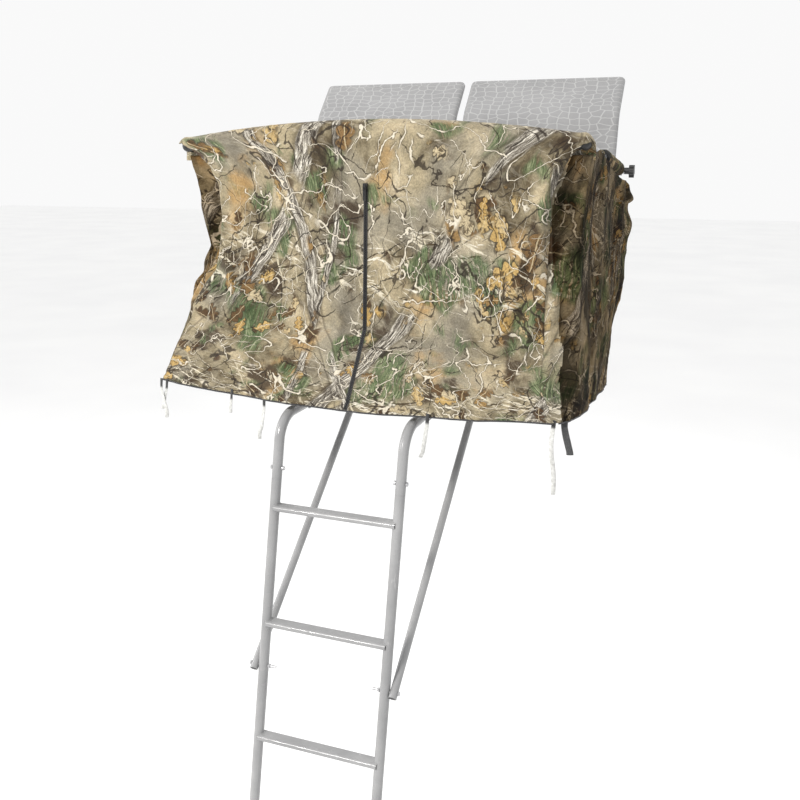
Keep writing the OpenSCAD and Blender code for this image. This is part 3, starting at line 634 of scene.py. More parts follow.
def dark_metal():
    """Black-painted metal of the zip, worn to bare metal in places."""
    look = Look("dark_metal", roughness=0.4, metallic=0.6)
    wear = look.noise(160, 5, roughness=0.7)
    look.colour(look.ramp(wear, [(0.35, (0.012, 0.012, 0.013)), (0.66, (0.035, 0.034, 0.033)),
                                 (0.74, (0.22, 0.21, 0.20))]))
    look.bump(wear, 0.0002, 0.4)
    return look.material


camera()

PAINT, ZINC, PLASTIC, DARK_METAL = painted_steel(), zinc_steel(), black_plastic(), dark_metal()
WEBBING, RIBBON, SEAT, FOAM = black_webbing(), tie_ribbon(), seat_fabric(), foam()
# the side panels' copy of the print carries painted shade at 0.55; the pad covers' and arm loops' copy
# carries a lighter dose at 0.9
CAMO, CAMO_SIDE_SHADED, CAMO_PAD = camo("camo_cloth"), camo("camo_cloth_side_shaded", 0.55), camo("camo_pad", 0.9)
THREAD = thread("thread_brown", (0.20, 0.17, 0.11))
THREAD_DARK = thread("thread_black", grey(0.03))
THREAD_GREY = thread("thread_grey", grey(0.55))
LOOKS = {"painted_steel": PAINT, "zinc_steel": ZINC, "black_plastic": PLASTIC,
         "black_webbing": WEBBING, "zip_metal": DARK_METAL}

# ---------------------------------------------------------------- ties and strap
MM = 0.001
UNDER_HEM = Vector((0, 3, 13)) * MM             # from a tie's first point to its sewn end
# Width in metres, and the route of part.scad in millimetres
TIES = {
    "tie_left_a": (0.012, [(-648, -1416, -282), (-648, -1418, -300), (-645, -1419, -320), (-640, -1420, -340),
                           (-635, -1420, -360), (-632, -1420, -380), (-634, -1420, -398)]),
    "tie_left_b": (0.012, [(-630, -1412, -284), (-632, -1413, -302), (-637, -1414, -320), (-642, -1414, -338),
                           (-646, -1414, -354), (-650, -1414, -372)]),
    "tie_left_c": (0.010, [(-390, -1412, -296), (-391, -1413, -312), (-393, -1414, -328), (-395, -1414, -344),
                           (-396, -1414, -360)]),
    "tie_left_d": (0.012, [(-275, -1412, -312), (-276, -1413, -334), (-279, -1414, -356), (-283, -1415, -378),
                           (-287, -1415, -398), (-294, -1415, -416), (-296, -1415, -436)]),
    "tie_right_a": (0.012, [(262, -1412, -312), (261, -1413, -334), (258, -1414, -356), (255, -1415, -378),
                            (252, -1415, -398), (249, -1415, -416), (242, -1415, -434)]),
    "tie_right_b": (0.013, [(630, -1412, -294), (628, -1413, -318), (626, -1414, -343), (627, -1415, -368),
                            (630, -1415, -393), (634, -1415, -418), (637, -1415, -443), (638, -1415, -468),
                            (638, -1415, -498)]),
    "strap_right": (0.020, [(656, -1388, -302), (657, -1378, -320), (658, -1364, -338), (659, -1350, -354),
                            (660, -1336, -370), (661, -1322, -386), (662, -1308, -402), (662, -1300, -414)]),
}


def ribbon(name, width, route, material, thickness):
    """A flat tape along its route, with a slow twist; its end runs up under the hem."""
    points = [Vector(p) * MM for p in route]
    path = smooth_path([points[0] + UNDER_HEM] + points, 6)
    length = sum((q - p).length for p, q in zip(path, path[1:]))
    count = len(path)

    def place(a, b):
        i = round(b * (count - 1))
        turn = 0.35 * math.sin(4.0 * b + len(name))
        side = Vector((math.cos(turn), math.sin(turn), 0))
        dish = 0.12 * width * (2 * a - 1) ** 2
        return path[i] + side * width * (a - 0.5) + Vector((0, 1, 0)) * dish

    mesh = grid_mesh(name, 8, count - 1, place, lambda a, b: (a * width, b * length))
    piece = new_object(name + "_tape", mesh, material, "shooting_rail")
    thicken(piece, thickness)
    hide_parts(name)
    tuple(path[0])
    [tuple(p) for p in path]


def ties():
    for name, (width, route) in TIES.items():
        if name.startswith("strap"):
            ribbon(name, width, route, WEBBING, thickness=0.0018)
        else:
            ribbon(name, width, route, RIBBON, thickness=0.0009)


ties()

# ---------------------------------------------------------------- blind cloth
RAIL_END = Vector((0.640, -1.190, 0.458))       # axis of the rail's corners
RAIL_CROWN = 0.045                              # rise of the rail's middle over its ends
CROWN_HALF = 0.618
PAD_R = 0.025
LOOSE = 0.0035                                  # slack of the cloth over the pad
CLOTH = 0.0012                                  # thickness of the cloth
BEND = Vector((0, -1.2476, -0.100))             # where the front starts to flare
HEM = Vector((0, -1.408, -0.315))
HEM_HALF = 0.65
BEHIND_RAIL, OVER_RAIL = 0.07, 0.10             # shares of the front's length behind and over the pad
HANG_FROM = BEHIND_RAIL + OVER_RAIL
WRAP = 0.9 * math.pi                            # how far round the pad the cloth goes
TO_BEND = 0.62                                  # share of the hanging cloth above the bend

# Half-width of the front between its folds, from the hem up, as (z, half-width)
EDGE_RIGHT = [(-0.32, 0.655), (-0.27, 0.615), (-0.20, 0.572), (-0.05, 0.560), (0.15, 0.562), (0.30, 0.564),
              (0.34, 0.575), (0.39, 0.594), (0.42, 0.608), (0.445, 0.630), (0.465, 0.655), (0.485, 0.668)]
EDGE_LEFT = [(-0.30, 0.650), (-0.25, 0.649), (-0.18, 0.646), (-0.12, 0.638), (-0.056, 0.620), (0.013, 0.583),
             (0.071, 0.546), (0.131, 0.520), (0.22, 0.514), (0.321, 0.524), (0.377, 0.556), (0.42, 0.584),
             (0.445, 0.610), (0.465, 0.645), (0.485, 0.665)]

# Pulled folds on the front: start (x, z), end (x, z), width, height
FRONT_FOLDS = [
    ((0.60, 0.44), (0.50, 0.10), 0.022, 0.010), ((0.57, 0.42), (0.44, -0.02), 0.026, 0.009),
    ((0.56, 0.20), (0.50, -0.26), 0.018, 0.014), ((0.56, 0.10), (0.46, 0.20), 0.016, 0.009),
    ((0.52, 0.24), (0.47, -0.16), 0.016, -0.010), ((0.56, 0.04), (0.42, -0.30), 0.020, 0.012),
    ((0.54, -0.02), (0.38, -0.28), 0.014, -0.009), ((0.56, 0.07), (0.40, 0.02), 0.014, 0.006),
    ((-0.56, 0.40), (-0.46, 0.06), 0.022, 0.010), ((-0.52, 0.17), (-0.40, -0.10), 0.022, 0.017),
    ((-0.55, 0.12), (-0.47, -0.12), 0.020, -0.014), ((-0.53, 0.13), (-0.44, -0.28), 0.022, 0.010),
    ((-0.52, 0.14), (-0.12, 0.02), 0.022, 0.006), ((-0.52, 0.18), (-0.38, 0.30), 0.018, 0.006),
    ((-0.54, 0.10), (-0.52, -0.16), 0.016, 0.009),
    ((0.36, 0.47), (0.26, 0.12), 0.030, 0.006), ((-0.30, 0.50), (-0.20, 0.16), 0.030, 0.006),
    ((0.06, 0.36), (0.10, -0.20), 0.016, 0.005), ((-0.05, 0.30), (-0.09, -0.24), 0.016, 0.005),
    ((0.18, 0.02), (0.12, -0.30), 0.022, 0.007), ((-0.20, 0.00), (-0.26, -0.30), 0.022, 0.007),
    ((0.40, 0.10), (0.22, 0.04), 0.014, 0.005), ((-0.40, -0.18), (-0.58, -0.28), 0.018, 0.008),
    ((0.50, 0.30), (0.34, 0.26), 0.014, 0.005), ((-0.62, -0.05), (-0.34, -0.22), 0.020, 0.008),
    ((0.30, -0.02), (0.34, -0.29), 0.018, 0.007), ((-0.36, 0.08), (-0.33, -0.10), 0.016, 0.005)]


def crown(x):
    """How far the middle of the rail stands above its ends."""
    return RAIL_CROWN * max(0.0, 1 - (x / CROWN_HALF) ** 2)


def hem_rise(x):
    """The hem hangs lowest in the middle and is drawn up towards its corners, most at the left."""
    return (0.042 if x < 0 else 0.027) * abs(x / HEM_HALF) ** 1.6


def front_line(b, x):
    """The front's profile at x: up behind the pad, over it, then down to the hem."""
    radius = PAD_R + LOOSE
    centre = Vector((x, RAIL_END.y, RAIL_END.z + crown(x)))
    if b < BEHIND_RAIL:
        return centre + Vector((0, radius, mix(-0.045, 0, b / BEHIND_RAIL)))
    if b < HANG_FROM:
        angle = WRAP * (b - BEHIND_RAIL) / OVER_RAIL
        return centre + radius * Vector((0, math.cos(angle), math.sin(angle)))
    share = (b - HANG_FROM) / (1 - HANG_FROM)
    top = centre + radius * Vector((0, math.cos(WRAP), math.sin(WRAP)))
    bend = Vector((x, BEND.y, BEND.z))
    if share < TO_BEND:
        point = top.lerp(bend, share / TO_BEND)
    else:
        hem = Vector((x, HEM.y, HEM.z + hem_rise(x)))
        point = bend.lerp(hem, (share - TO_BEND) / (1 - TO_BEND))
    return point + Vector((0, 0, 0.0048)) * hump(share, TO_BEND, 0.10)


def fold_height(folds, x, z):
    """How far folds, a list like FRONT_FOLDS, lift the cloth at x and z."""
    total = 0.0
    for (x0, z0), (x1, z1), width, height in folds:
        way = Vector((x1 - x0, z1 - z0))
        off = Vector((x - x0, z - z0))
        t = clamp(off.dot(way) / way.length_squared)
        gap = (off - way * t).length
        total += height * hump(gap, 0, width) * math.sin(math.pi * clamp(t, 0.04, 0.96)) ** 0.5
    return total


def ripples(x, z, seed):
    """Soft small unevenness of hung cloth."""
    low = noise.noise(Vector((x * 3.1, z * 2.3, seed)))
    mid = noise.noise(Vector((x * 9.0, z * 6.0, seed + 3)))
    crease = 1 - abs(noise.noise(Vector((x * 5.0 + 0.3 * z, z * 7.0, seed + 8)))) * 2
    sharp = 1 - abs(noise.noise(Vector((x * 13.0 - 4 * z, z * 11.0, seed + 2)))) * 2.4
    fine = noise.noise(Vector((x * 24.0, z * 17.0, seed + 5)))
    return (0.008 * low + 0.0035 * mid + 0.0035 * max(0.0, crease) ** 3 + 0.0022 * max(0.0, sharp) ** 4
            + 0.0012 * fine)


def hanging(b):
    """0 over the pad, 1 where the cloth hangs free."""
    return smooth(b, HANG_FROM, HANG_FROM + 0.10)


def front_at(x, b):
    """The front cloth's place at x, for b from its hidden rear edge to its hem."""
    point = front_line(b, x)
    hang = hanging(b)
    zip_calm = smooth(abs(x), 0.012, 0.05)
    height = (fold_height(FRONT_FOLDS, x, point.z) + ripples(x, point.z, 1.0)) * hang
    height += 0.006 * math.sin(x * 21) * smooth(b, 0.8, 1.0)
    # little puckers where the cloth goes over the pad
    height += 0.004 * (1 - hang) * noise.noise(Vector((x * 8, b * 30, 4)))
    pucker = math.sin(x * 90 + 4 * noise.noise(Vector((x * 6, 0, 9))))
    height += 0.003 * (1 - hang) * max(0.0, pucker) ** 3
    hem_roll = 0.0035 * (hump(b, 0.988, 0.007) - hump(b, 0.970, 0.006))
    droop = 32 * max(0.0, abs(x) - 0.640) ** 2 * (1 - hang) * smooth(b, 0.0, BEHIND_RAIL + 0.02)
    return point + Vector((0, -1, 0.12)) * (height * zip_calm + hem_roll) - Vector((0, 0, droop))


def front_place(a, b):
    """The front cloth's place for a from its left edge to its right edge."""
    s = 2 * a - 1
    edges = EDGE_RIGHT if s > 0 else EDGE_LEFT
    over = b < BEHIND_RAIL + OVER_RAIL * 0.5
    half = along(edges, 0.50 if over else front_line(b, s * RAIL_END.x).z)
    point = front_at(s * half, b)
    slit = smooth(b, 0.56, 0.44) if s > 0 else smooth(b, 0.64, 0.50)
    edge = smooth(abs(s), 0.962, 1.0) * hanging(b) * slit
    return point + Vector((-0.006 * edge * (1 if s > 0 else -1), 0.034 * edge, 0))


def blind_front():
    columns, rows = 250, 180
    flat_width, flat_length = 1.33, 1.02

    def fine(b):
        """Rows lie closer together towards the hem."""
        return mix(b, 1 - (1 - b) ** 1.7, 0.6)

    mesh = grid_mesh("blind_front_cloth", columns, rows, lambda a, b: front_place(a, fine(b)),
                     lambda a, b: (a * flat_width, (1 - fine(b)) * flat_length))
    piece = new_object("blind_front_cloth", mesh, CAMO, "shooting_rail")
    thicken(piece, CLOTH)
    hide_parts("blind_front")


def lerp_curve(points, share):
    """A point along a line of points, at a share of its number of steps."""
    span = share * (len(points) - 1)
    i = min(int(span), len(points) - 2)
    return Vector(points[i]).lerp(Vector(points[i + 1]), span - i)


# A side panel from its corner back, as it hangs on the right: top, hem, corner fold and rear edge
SIDE_TOP = [(0.652, -1.175, 0.428), (0.662, -1.10, 0.442), (0.664, -0.98, 0.424), (0.665, -0.87, 0.400),
            (0.672, -0.78, 0.374), (0.678, -0.66, 0.356), (0.676, -0.54, 0.346), (0.682, -0.44, 0.342),
            (0.678, -0.37, 0.332)]
SIDE_LOW = [(0.664, -1.375, -0.288), (0.667, -1.26, -0.304), (0.668, -1.13, -0.322), (0.668, -1.00, -0.333),
            (0.668, -0.89, -0.338), (0.668, -0.80, -0.345), (0.668, -0.72, -0.355), (0.667, -0.65, -0.366),
            (0.664, -0.56, -0.376)]
CORNER_RIGHT = [(0.652, -1.175, 0.428), (0.640, -1.180, 0.28), (0.636, -1.180, 0.10), (0.645, -1.200, -0.06),
                (0.656, -1.270, -0.18), (0.664, -1.375, -0.288)]
CORNER_LEFT = [(0.640, -1.175, 0.428), (0.604, -1.180, 0.30), (0.578, -1.185, 0.14), (0.630, -1.205, -0.05),
               (0.656, -1.280, -0.18), (0.664, -1.375, -0.275)]
SIDE_REAR = [(0.678, -0.370, 0.332), (0.676, -0.440, 0.275), (0.674, -0.385, 0.165), (0.672, -0.405, -0.015),
             (0.668, -0.520, -0.175), (0.664, -0.560, -0.376)]
SIDE_STRIP = 0.12                               # share of a side panel in front of its corner fold
SIDE_START = 0.205                              # where its top meets the front, as a share down the front


def side_front(b, left):
    """The panel's front edge, tucked behind the front cloth's own edge; open in a slit at its top."""
    point = front_place(0.0 if left else 1.0, mix(SIDE_START, 1.0, b))
    if left:
        point.x = -point.x
    slit = smooth(b, 0.52, 0.36) if left else smooth(b, 0.42, 0.30)
    return point + Vector((-0.004 - 0.010 * slit, 0.002 + 0.014 * slit, -0.003 * slit))


def side_shape(a, b, left):
    """The smooth surface of a side panel, without its folds."""
    corner = lerp_curve(CORNER_LEFT if left else CORNER_RIGHT, b)
    if a < SIDE_STRIP:
        t = a / SIDE_STRIP
        bow = mix(-0.012, 0.016, smooth(b, 0.55, 0.25)) * math.sin(math.pi * t)
        return side_front(b, left).lerp(corner, t) + Vector((-0.3, 0.9, 0)) * bow
    t = (a - SIDE_STRIP) / (1 - SIDE_STRIP)
    rails = lerp_curve(SIDE_TOP, t).lerp(lerp_curve(SIDE_LOW, t), b)
    edges = corner.lerp(lerp_curve(SIDE_REAR, b), t)
    first = lerp_curve(SIDE_TOP, 0).lerp(lerp_curve(SIDE_LOW, 0), b)
    last = lerp_curve(SIDE_TOP, 1).lerp(lerp_curve(SIDE_LOW, 1), b)
    return rails + edges - first.lerp(last, t)


def side_place(a, b, left):
    """The side panel's point for a from its front edge to its rear edge and b from top to hem."""
    point = side_shape(a, b, left)
    seed = 21.0 if left else 11.0
    y, z = point.y, point.z
    # hanging folds, with more gathering under the arm
    gathered = smooth(y, -0.85, -0.45) * smooth(z, -0.05, 0.36)
    waves = math.sin(y * 37 + 2.2 * noise.noise(Vector((y * 4, z * 3, seed))) + seed)
    slow = math.sin(y * 17 + z * 2.5 + seed * 2)
    depth = mix(0.005, 0.013, gathered) * waves + 0.010 * slow
    depth *= smooth(b, 0.0, 0.14) * (0.35 + 0.65 * smooth(b, 1.0, 0.45))
    crumple = gathered * 0.020 * noise.noise(Vector((y * 15, z * 13, seed)))
    push = max(depth + crumple + ripples(y, z, seed), -0.008) + 0.006
    push *= smooth(a, 0.02, SIDE_STRIP + 0.05)
    # folds on the corner strip run out from a pinch, like the spokes of a fan
    u, v = (a / SIDE_STRIP - 0.45) * 0.09, z - 0.08
    spoke = math.sin(6.0 * math.atan2(v * 0.55, u) + 0.8) * smooth(math.hypot(u, v), 0.01, 0.07)
    crease = noise.noise(Vector((u * 38, z * 8, seed)))
    strip = smooth(a, 0.0, 0.03) * smooth(a, SIDE_STRIP + 0.06, SIDE_STRIP * 0.6) * smooth(b, 0.04, 0.22)
    pleat = (0.011 * spoke + 0.010 * crease) * strip
    sag = gathered * (0.022 * noise.noise(Vector((y * 9, z * 4, seed + 2))) - 0.008)
    point += Vector((push + 0.5 * pleat, -0.85 * pleat, sag))
    if left:
        point.x = -point.x
    return point


def blind_sides():
    flat_width, flat_length = 1.05, 0.80
    columns, rows = 190, 120
    for left in (True, False):
        name = f"blind_side_{'left' if left else 'right'}"
        mesh = grid_mesh(name + "_cloth", columns, rows, lambda a, b: side_place(a, b, left),
                         lambda a, b: (2.1 + a * flat_width, (1 - b) * flat_length + (0.4 if left else 0)))
        # the side panels are printed with painted shade: a darker, browner copy of the front's camo
        piece = new_object(name + "_cloth", mesh, CAMO_SIDE_SHADED, "shooting_rail")
        mesh.materials.append(CAMO)
        # the strip next to the front takes the front's print, without the painted shade
        for polygon in mesh.polygons:
            a, b = polygon.index % columns / columns, polygon.index // columns / rows
            wander = 0.03 * noise.noise(Vector((0, b * 6, 3))) + 0.05 * smooth(b, 0.3, 0.6)
            polygon.material_index = 1 if a < wander + 0.02 else 0
        thicken(piece, CLOTH)
        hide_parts(name)


def stitches(name, points, material, body, pitch, long, thick):
    """A row of stitches along points, a dense list of places; each stitch is a small spindle."""
    path = [Vector(p) for p in points]
    marks = [0.0]
    for p, q in zip(path, path[1:]):
        marks.append(marks[-1] + (q - p).length)
    verts, faces = [], []
    place, i = pitch, 0
    while place < marks[-1] - pitch:
        while marks[i + 1] < place:
            i += 1
        way = (path[i + 1] - path[i]).normalized()
        middle = path[i].lerp(path[i + 1], (place - marks[i]) / (marks[i + 1] - marks[i]))
        side = way.cross(Vector((0, 0.3, 1))).normalized()
        up = side.cross(way)
        first = len(verts)
        for shift, reach in ((-0.5, 0.35), (-0.25, 1.0), (0.25, 1.0), (0.5, 0.35)):
            for across, rise in ((1, 0), (0, 1), (-1, 0), (0, -1)):
                verts.append(middle + way * long * shift + (side * across + up * rise) * thick * 0.5 * reach)
        faces += ring_faces(4, 4, first)
        faces.append((first + 3, first + 2, first + 1, first))
        faces.append((first + 12, first + 13, first + 14, first + 15))
        place += pitch
    mesh = mesh_of(name, verts, faces, [(v.x, v.z) for v in verts])
    new_object(name, mesh, material, body)


def hem_piping():
    """The corded edge of the hem, on the front and both side panels, and its lines of stitching."""
    steps, hidden = 220, 10
    below = Vector((0, 0, -0.002))
    front = [front_place(i / steps, 1.0) + below + Vector((0, -0.001, 0)) for i in range(steps + 1)]
    right = [side_place(i / steps, 1.0, False) + below for i in range(hidden, steps + 1)]
    left = [side_place(i / steps, 1.0, True) + below for i in range(steps, hidden - 1, -1)]
    for word, path in (("front", front), ("right", right), ("left", left)):
        mesh = tube_mesh(f"hem_piping_{word}", path, radius=0.0024, sides=8, up=Vector((0, 0.3, 1)))
        piece = new_object(f"hem_piping_{word}", mesh, WEBBING, "shooting_rail")
        if word == "front":
            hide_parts("hem_cord")
    for height, name in ((0.984, "hem_stitches"), (0.971, "hem_stitches_upper")):
        row = [front_place(0.01 + 0.98 * i / 500, height) + Vector((0, -0.0012, 0)) for i in range(501)]
        stitches(name, row, THREAD, "shooting_rail", pitch=0.0075, long=0.0050, thick=0.0011)


def arm_loops():
    """Cloth loops that hang the side panels' tops from the rail's arms."""
    wide, reach, lap = 0.026, 0.0150, 0.030     # width, radius round the arm, reach down the panel
    flat = (0.16, 0.030)
    for left, word in ((True, "left"), (False, "right")):
        side = -1 if left else 1
        for number, t in enumerate((0.14, 0.36)):
            low = lerp_curve(SIDE_TOP, t)
            share = (low.y - RAIL_END.y) / (PIVOT.y - RAIL_END.y)
            axis = Vector((RAIL_END.x, low.y, mix(RAIL_END.z, PIVOT.z, share)))
            foot = Vector((low.x + 0.004, low.y, low.z - lap))

            def place(a, b):
                angle = math.radians(mix(-60, 300, a))
                spot = axis + reach * Vector((math.cos(angle), 0, math.sin(angle)))
                pull = smooth(abs(a - 0.5), 0.36, 0.5)
                spot = spot.lerp(foot + Vector((0.0015 if a < 0.5 else -0.0015, 0, 0)), pull)
                spot.y += (b - 0.5) * wide * mix(1.0, 1.25, pull)
                return Vector((side * spot.x, spot.y, spot.z))

            name = f"arm_loop_{word}_{number}"
            mesh = grid_mesh(name, 48, 6, place, lambda a, b: (3.3 + a * flat[0], b * flat[1] + number))
            piece = new_object(name, mesh, CAMO_PAD, "shooting_rail")
            thicken(piece, 0.001)


# ---------------------------------------------------------------- zip
def zip_closure():
    """Woven tapes with a coil of teeth down the middle of the front, following the cloth."""
    low, high = (Vector(corner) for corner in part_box("zip_tape"))
    half = (high.x - low.x) / 2 * 0.45
    top = next(k / 1000 for k in range(200, 1000) if front_at(0, k / 1000).z < high.z)
    out = Vector((0, -1, 0.05))

    def spot(x, b, lift):
        return front_at(0.0, mix(top, 0.997, b)) + Vector((x, 0, 0)) + out * lift

    def tape_place(a, b):
        off = 2 * a - 1
        return spot(off * half, b, 0.0016 + 0.0006 * abs(off))

    tape = grid_mesh("zip_tapes", 16, 260, tape_place, lambda a, b: (a * 2 * half, b * 0.7))
    piece = new_object("zip_tapes", tape, WEBBING, "shooting_rail")
    thicken(piece, 0.0008)
    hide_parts("zip_tape")
    zip_teeth(spot)
    for side, word in ((-1, "left"), (1, "right")):
        row = [spot(side * (half - 0.002), i / 300, 0.0030) for i in range(301)]
        stitches(f"zip_stitches_{word}", row, THREAD_DARK, "shooting_rail",
                 pitch=0.006, long=0.004, thick=0.0008)


def zip_teeth(spot):
    """Teeth by turns on the left and the right; spot(x, share down the zip, lift) gives a place."""
    count, tooth = 236, 0.72
    outline = ((-0.0008, 0.0020), (0.0030, 0.0020), (0.0030, 0.0034), (0.0010, 0.0040), (-0.0008, 0.0036))
    points, faces = [], []
    for k in range(count):
        side = 1 if k % 2 else -1
        f = len(points)
        for b in (k / count, (k + tooth) / count):
            points += [spot(x * side, b, lift) for x, lift in outline]
        faces += ring_faces(2, 5, f)
        faces += [(f + 4, f + 3, f + 2, f + 1, f), (f + 5, f + 6, f + 7, f + 8, f + 9)]
    teeth = mesh_of("zip_teeth", points, faces, even=False)
    new_object("zip_teeth", teeth, DARK_METAL, "shooting_rail")


# ---------------------------------------------------------------- foam pads
FOAM_BORE = 0.0131


def foam_pad(name, path, cover, replaced):
    """A foam sleeve with a printed cover: outside, both end faces and the bore in one closed mesh."""
    rows = frames_along(path, Vector((0, 0, 1)))
    first, last = rows[0], rows[-1]
    end = [(0.0, FOAM_BORE, 1), (0.0, (FOAM_BORE + cover) / 2, 1), (0.0, cover - 0.0035, 1),
           (0.0012, cover - 0.001, 0)]
    rings = [(first, shift, radius, bare) for shift, radius, bare in end]
    rings += [(row, 0.0, cover, 0) for row in rows[1:-1]]
    rings += [(last, -shift, radius, bare) for shift, radius, bare in reversed(end)]
    sides = 48
    points, uvs = [], []
    run = 0.0
    for j, ((point, way, side, out), shift, radius, _) in enumerate(rings):
        run += (point - rings[j - 1][0][0]).length if j else 0
        for i in range(sides):
            angle = 2 * math.pi * i / sides
            bump = 0.0
            if radius == cover:
                bump = 0.0012 * noise.noise(Vector((run * 14, angle * 1.4, len(name))))
                bump -= 0.0014 * hump(angle, 4.4, 0.09)
            reach = radius + bump
            points.append(point + way * shift + reach * (math.cos(angle) * side + math.sin(angle) * out))
            uvs.append((run + 0.3 * len(name), angle * cover))
    n = len(rings)
    mesh = mesh_of(name, points, ring_faces(n, sides, closed=True), uvs)
    piece = new_object(name, mesh, CAMO_PAD, "shooting_rail")
    mesh.materials.append(FOAM)
    for index, polygon in enumerate(mesh.polygons):
        j = index // sides
        polygon.material_index = 1 if rings[j][3] or rings[(j + 1) % n][3] else 0
    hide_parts(replaced)


def foam_pads():
    half, arm_from, arm_long = 0.577, 0.395, 0.420
    places = [half * (2 * i / 140 - 1) for i in range(141)]
    rail = [Vector((x, RAIL_END.y, RAIL_END.z + crown(x))) for x in places]
    foam_pad("rail_pad_cover", rail, PAD_R - 0.0015, "rail_pad")
    for side, word in ((-1, "left"), (1, "right")):
        start = Vector((side * RAIL_END.x, RAIL_END.y, RAIL_END.z))
        way = (Vector((start.x, PIVOT.y, PIVOT.z)) - start).normalized()
        path = [start + way * (arm_from + arm_long * i / 60) for i in range(61)]
        foam_pad(f"arm_pad_cover_{word}", path, PAD_R, f"arm_pad_{word}")


# ---------------------------------------------------------------- back sleeves
HOOP_LEAN, HOOP_CURL = math.radians(12.5), math.radians(30)
CURL_R, CURL_FROM = 0.120, 0.82676              # bend near the top of the hoops
SLEEVE_LOW, SLEEVE_TOP = 0.676, 1.0463          # along the hoop
PIVOT_UP = 0.652                                # the rail's pivot, along the hoop
SLEEVE_HALF = 0.0150                            # half its thickness
SLEEVE_CORNER = 0.020
SLEEVE_DIP = 0.0045


def hoop_place(x, up, out):
    """A place at x, up along the hoops' legs from the platform frame, and out from their middle."""
    angle = clamp((up - CURL_FROM) / CURL_R, 0, HOOP_CURL)
    over = max(0.0, up - CURL_FROM - CURL_R * HOOP_CURL)
    y = CURL_R * (1 - math.cos(angle)) + over * math.sin(angle) - out * math.cos(angle)
    z = min(up, CURL_FROM) + CURL_R * math.sin(angle) + over * math.cos(angle) + out * math.sin(angle)
    z -= PIVOT_UP
    return Vector((x, PIVOT.y + y * math.cos(HOOP_LEAN) + z * math.sin(HOOP_LEAN),
                   PIVOT.z - y * math.sin(HOOP_LEAN) + z * math.cos(HOOP_LEAN)))


def sleeve_sag(left_over):
    """How far the faces dip between the tubes, left_over below the top edge."""
    return SLEEVE_DIP * smooth(left_over, 0.012, 0.08)


def sleeve_ring(half, left_over):
    """Places round the envelope, left_over below its top, as (x, out, whether on a flat face)."""
    rounding = max(0.0, SLEEVE_HALF - left_over)
    t = math.sqrt(SLEEVE_HALF ** 2 - rounding ** 2)
    gap = max(0.0, SLEEVE_CORNER - left_over)
    w = half - (SLEEVE_CORNER - math.sqrt(SLEEVE_CORNER ** 2 - gap ** 2)) - SLEEVE_HALF
    across, round_end = 70, 6
    front = [(mix(-w, w, i / across), t, True) for i in range(across + 1)]
    for k in range(1, round_end):
        angle = math.pi * k / round_end
        front.append((w + SLEEVE_HALF * math.sin(angle), t * math.cos(angle), False))
    return w, front + [(-x, -out, flat) for x, out, flat in front]


def back_sleeve(side, word):
    """A fabric envelope pulled over a hoop: flat faces that dip a little between the tubes."""
    name = f"back_rest_{word}"
    low, high = (Vector(c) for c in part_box(f"back_sleeve_{word}"))
    middle, half = (low.x + high.x) / 2, (high.x - low.x) / 2
    heights = [mix(SLEEVE_LOW, SLEEVE_TOP - 0.022, j / 60) for j in range(61)]
    heights += [SLEEVE_TOP - 0.0005 - 0.0215 * (1 - math.sin(math.pi / 2 * j / 10)) for j in range(1, 11)]
    points, uvs = [], []
    for up in heights:
        left_over = SLEEVE_TOP - up
        w, ring = sleeve_ring(half, left_over)
        sides = len(ring)
        for i, (x, out, on_face) in enumerate(ring):
            if on_face:
                flat = max(0.0, 1 - (x / w) ** 2)
                soft = 0.0016 * noise.noise(Vector((x * 9, up * 7, 5 + side)))
                soft += 0.0010 * noise.noise(Vector((x * 22, up * 15, 9 + side)))
                seam = 0.0012 * smooth(abs(left_over - 0.014), 0.006, 0.0)
                lift = flat * (soft * smooth(left_over, 0.0, 0.03) - sleeve_sag(left_over) - seam)
                out += lift if out > 0 else -lift
            points.append(hoop_place(middle + x, up, out))
            run = x if i < sides // 2 else 0.7 - x
            uvs.append((run + 0.31 * (side + 1), up))
    top = len(heights) - 1
    faces = ring_faces(len(heights), sides) + [tuple(top * sides + i for i in range(sides))]
    piece = new_object(name, mesh_of(name, points, faces, uvs), SEAT, "stand")
    thicken(piece, CLOTH, -1.0)
    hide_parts(f"back_sleeve_{word}")
    for up, label in ((SLEEVE_LOW + 0.016, "low"), (SLEEVE_TOP - 0.026, "top")):
        for out, face in ((1, "front"), (-1, "rear")):
            row = []
            for i in range(201):
                x = mix(-(half - 0.022), half - 0.022, i / 200)
                sag = sleeve_sag(SLEEVE_TOP - up) * (1 - (x / (half - SLEEVE_HALF)) ** 2)
                row.append(hoop_place(middle + x, up, out * (SLEEVE_HALF - sag + 0.0006)))
            stitches(f"back_stitches_{word}_{label}_{face}", row, THREAD_GREY, "stand",
                     pitch=0.0085, long=0.0055, thick=0.0012)


def back_sleeves():
    for side, word in ((-1, "left"), (1, "right")):
        back_sleeve(side, word)


# ---------------------------------------------------------------- seats
def puff(piece, cap):
    """Fill a closed pad with air by cloth simulation, so no point moves further than cap."""
    remesh = piece.modifiers.new("remesh", "REMESH")
    remesh.mode = "VOXEL"
    remesh.voxel_size = 0.005
    apply_modifiers(piece)
    before = [v.co.copy() for v in piece.data.vertices]
    cloth = piece.modifiers.new("cloth", "CLOTH")
    cloth.settings.quality = 4
    cloth.settings.mass = 0.2
    cloth.settings.tension_stiffness = 12
    cloth.settings.use_pressure = True
    cloth.settings.uniform_pressure_force = 4
    cloth.settings.effector_weights.gravity = 0
    scene = bpy.context.scene
    for number in range(1, 21):
        scene.frame_set(number)
    apply_modifiers(piece)
    scene.frame_set(1)
    for vertex, start in zip(piece.data.vertices, before):
        moved = vertex.co - start
        if moved.length > cap:
            vertex.co = start + moved * (cap / moved.length)


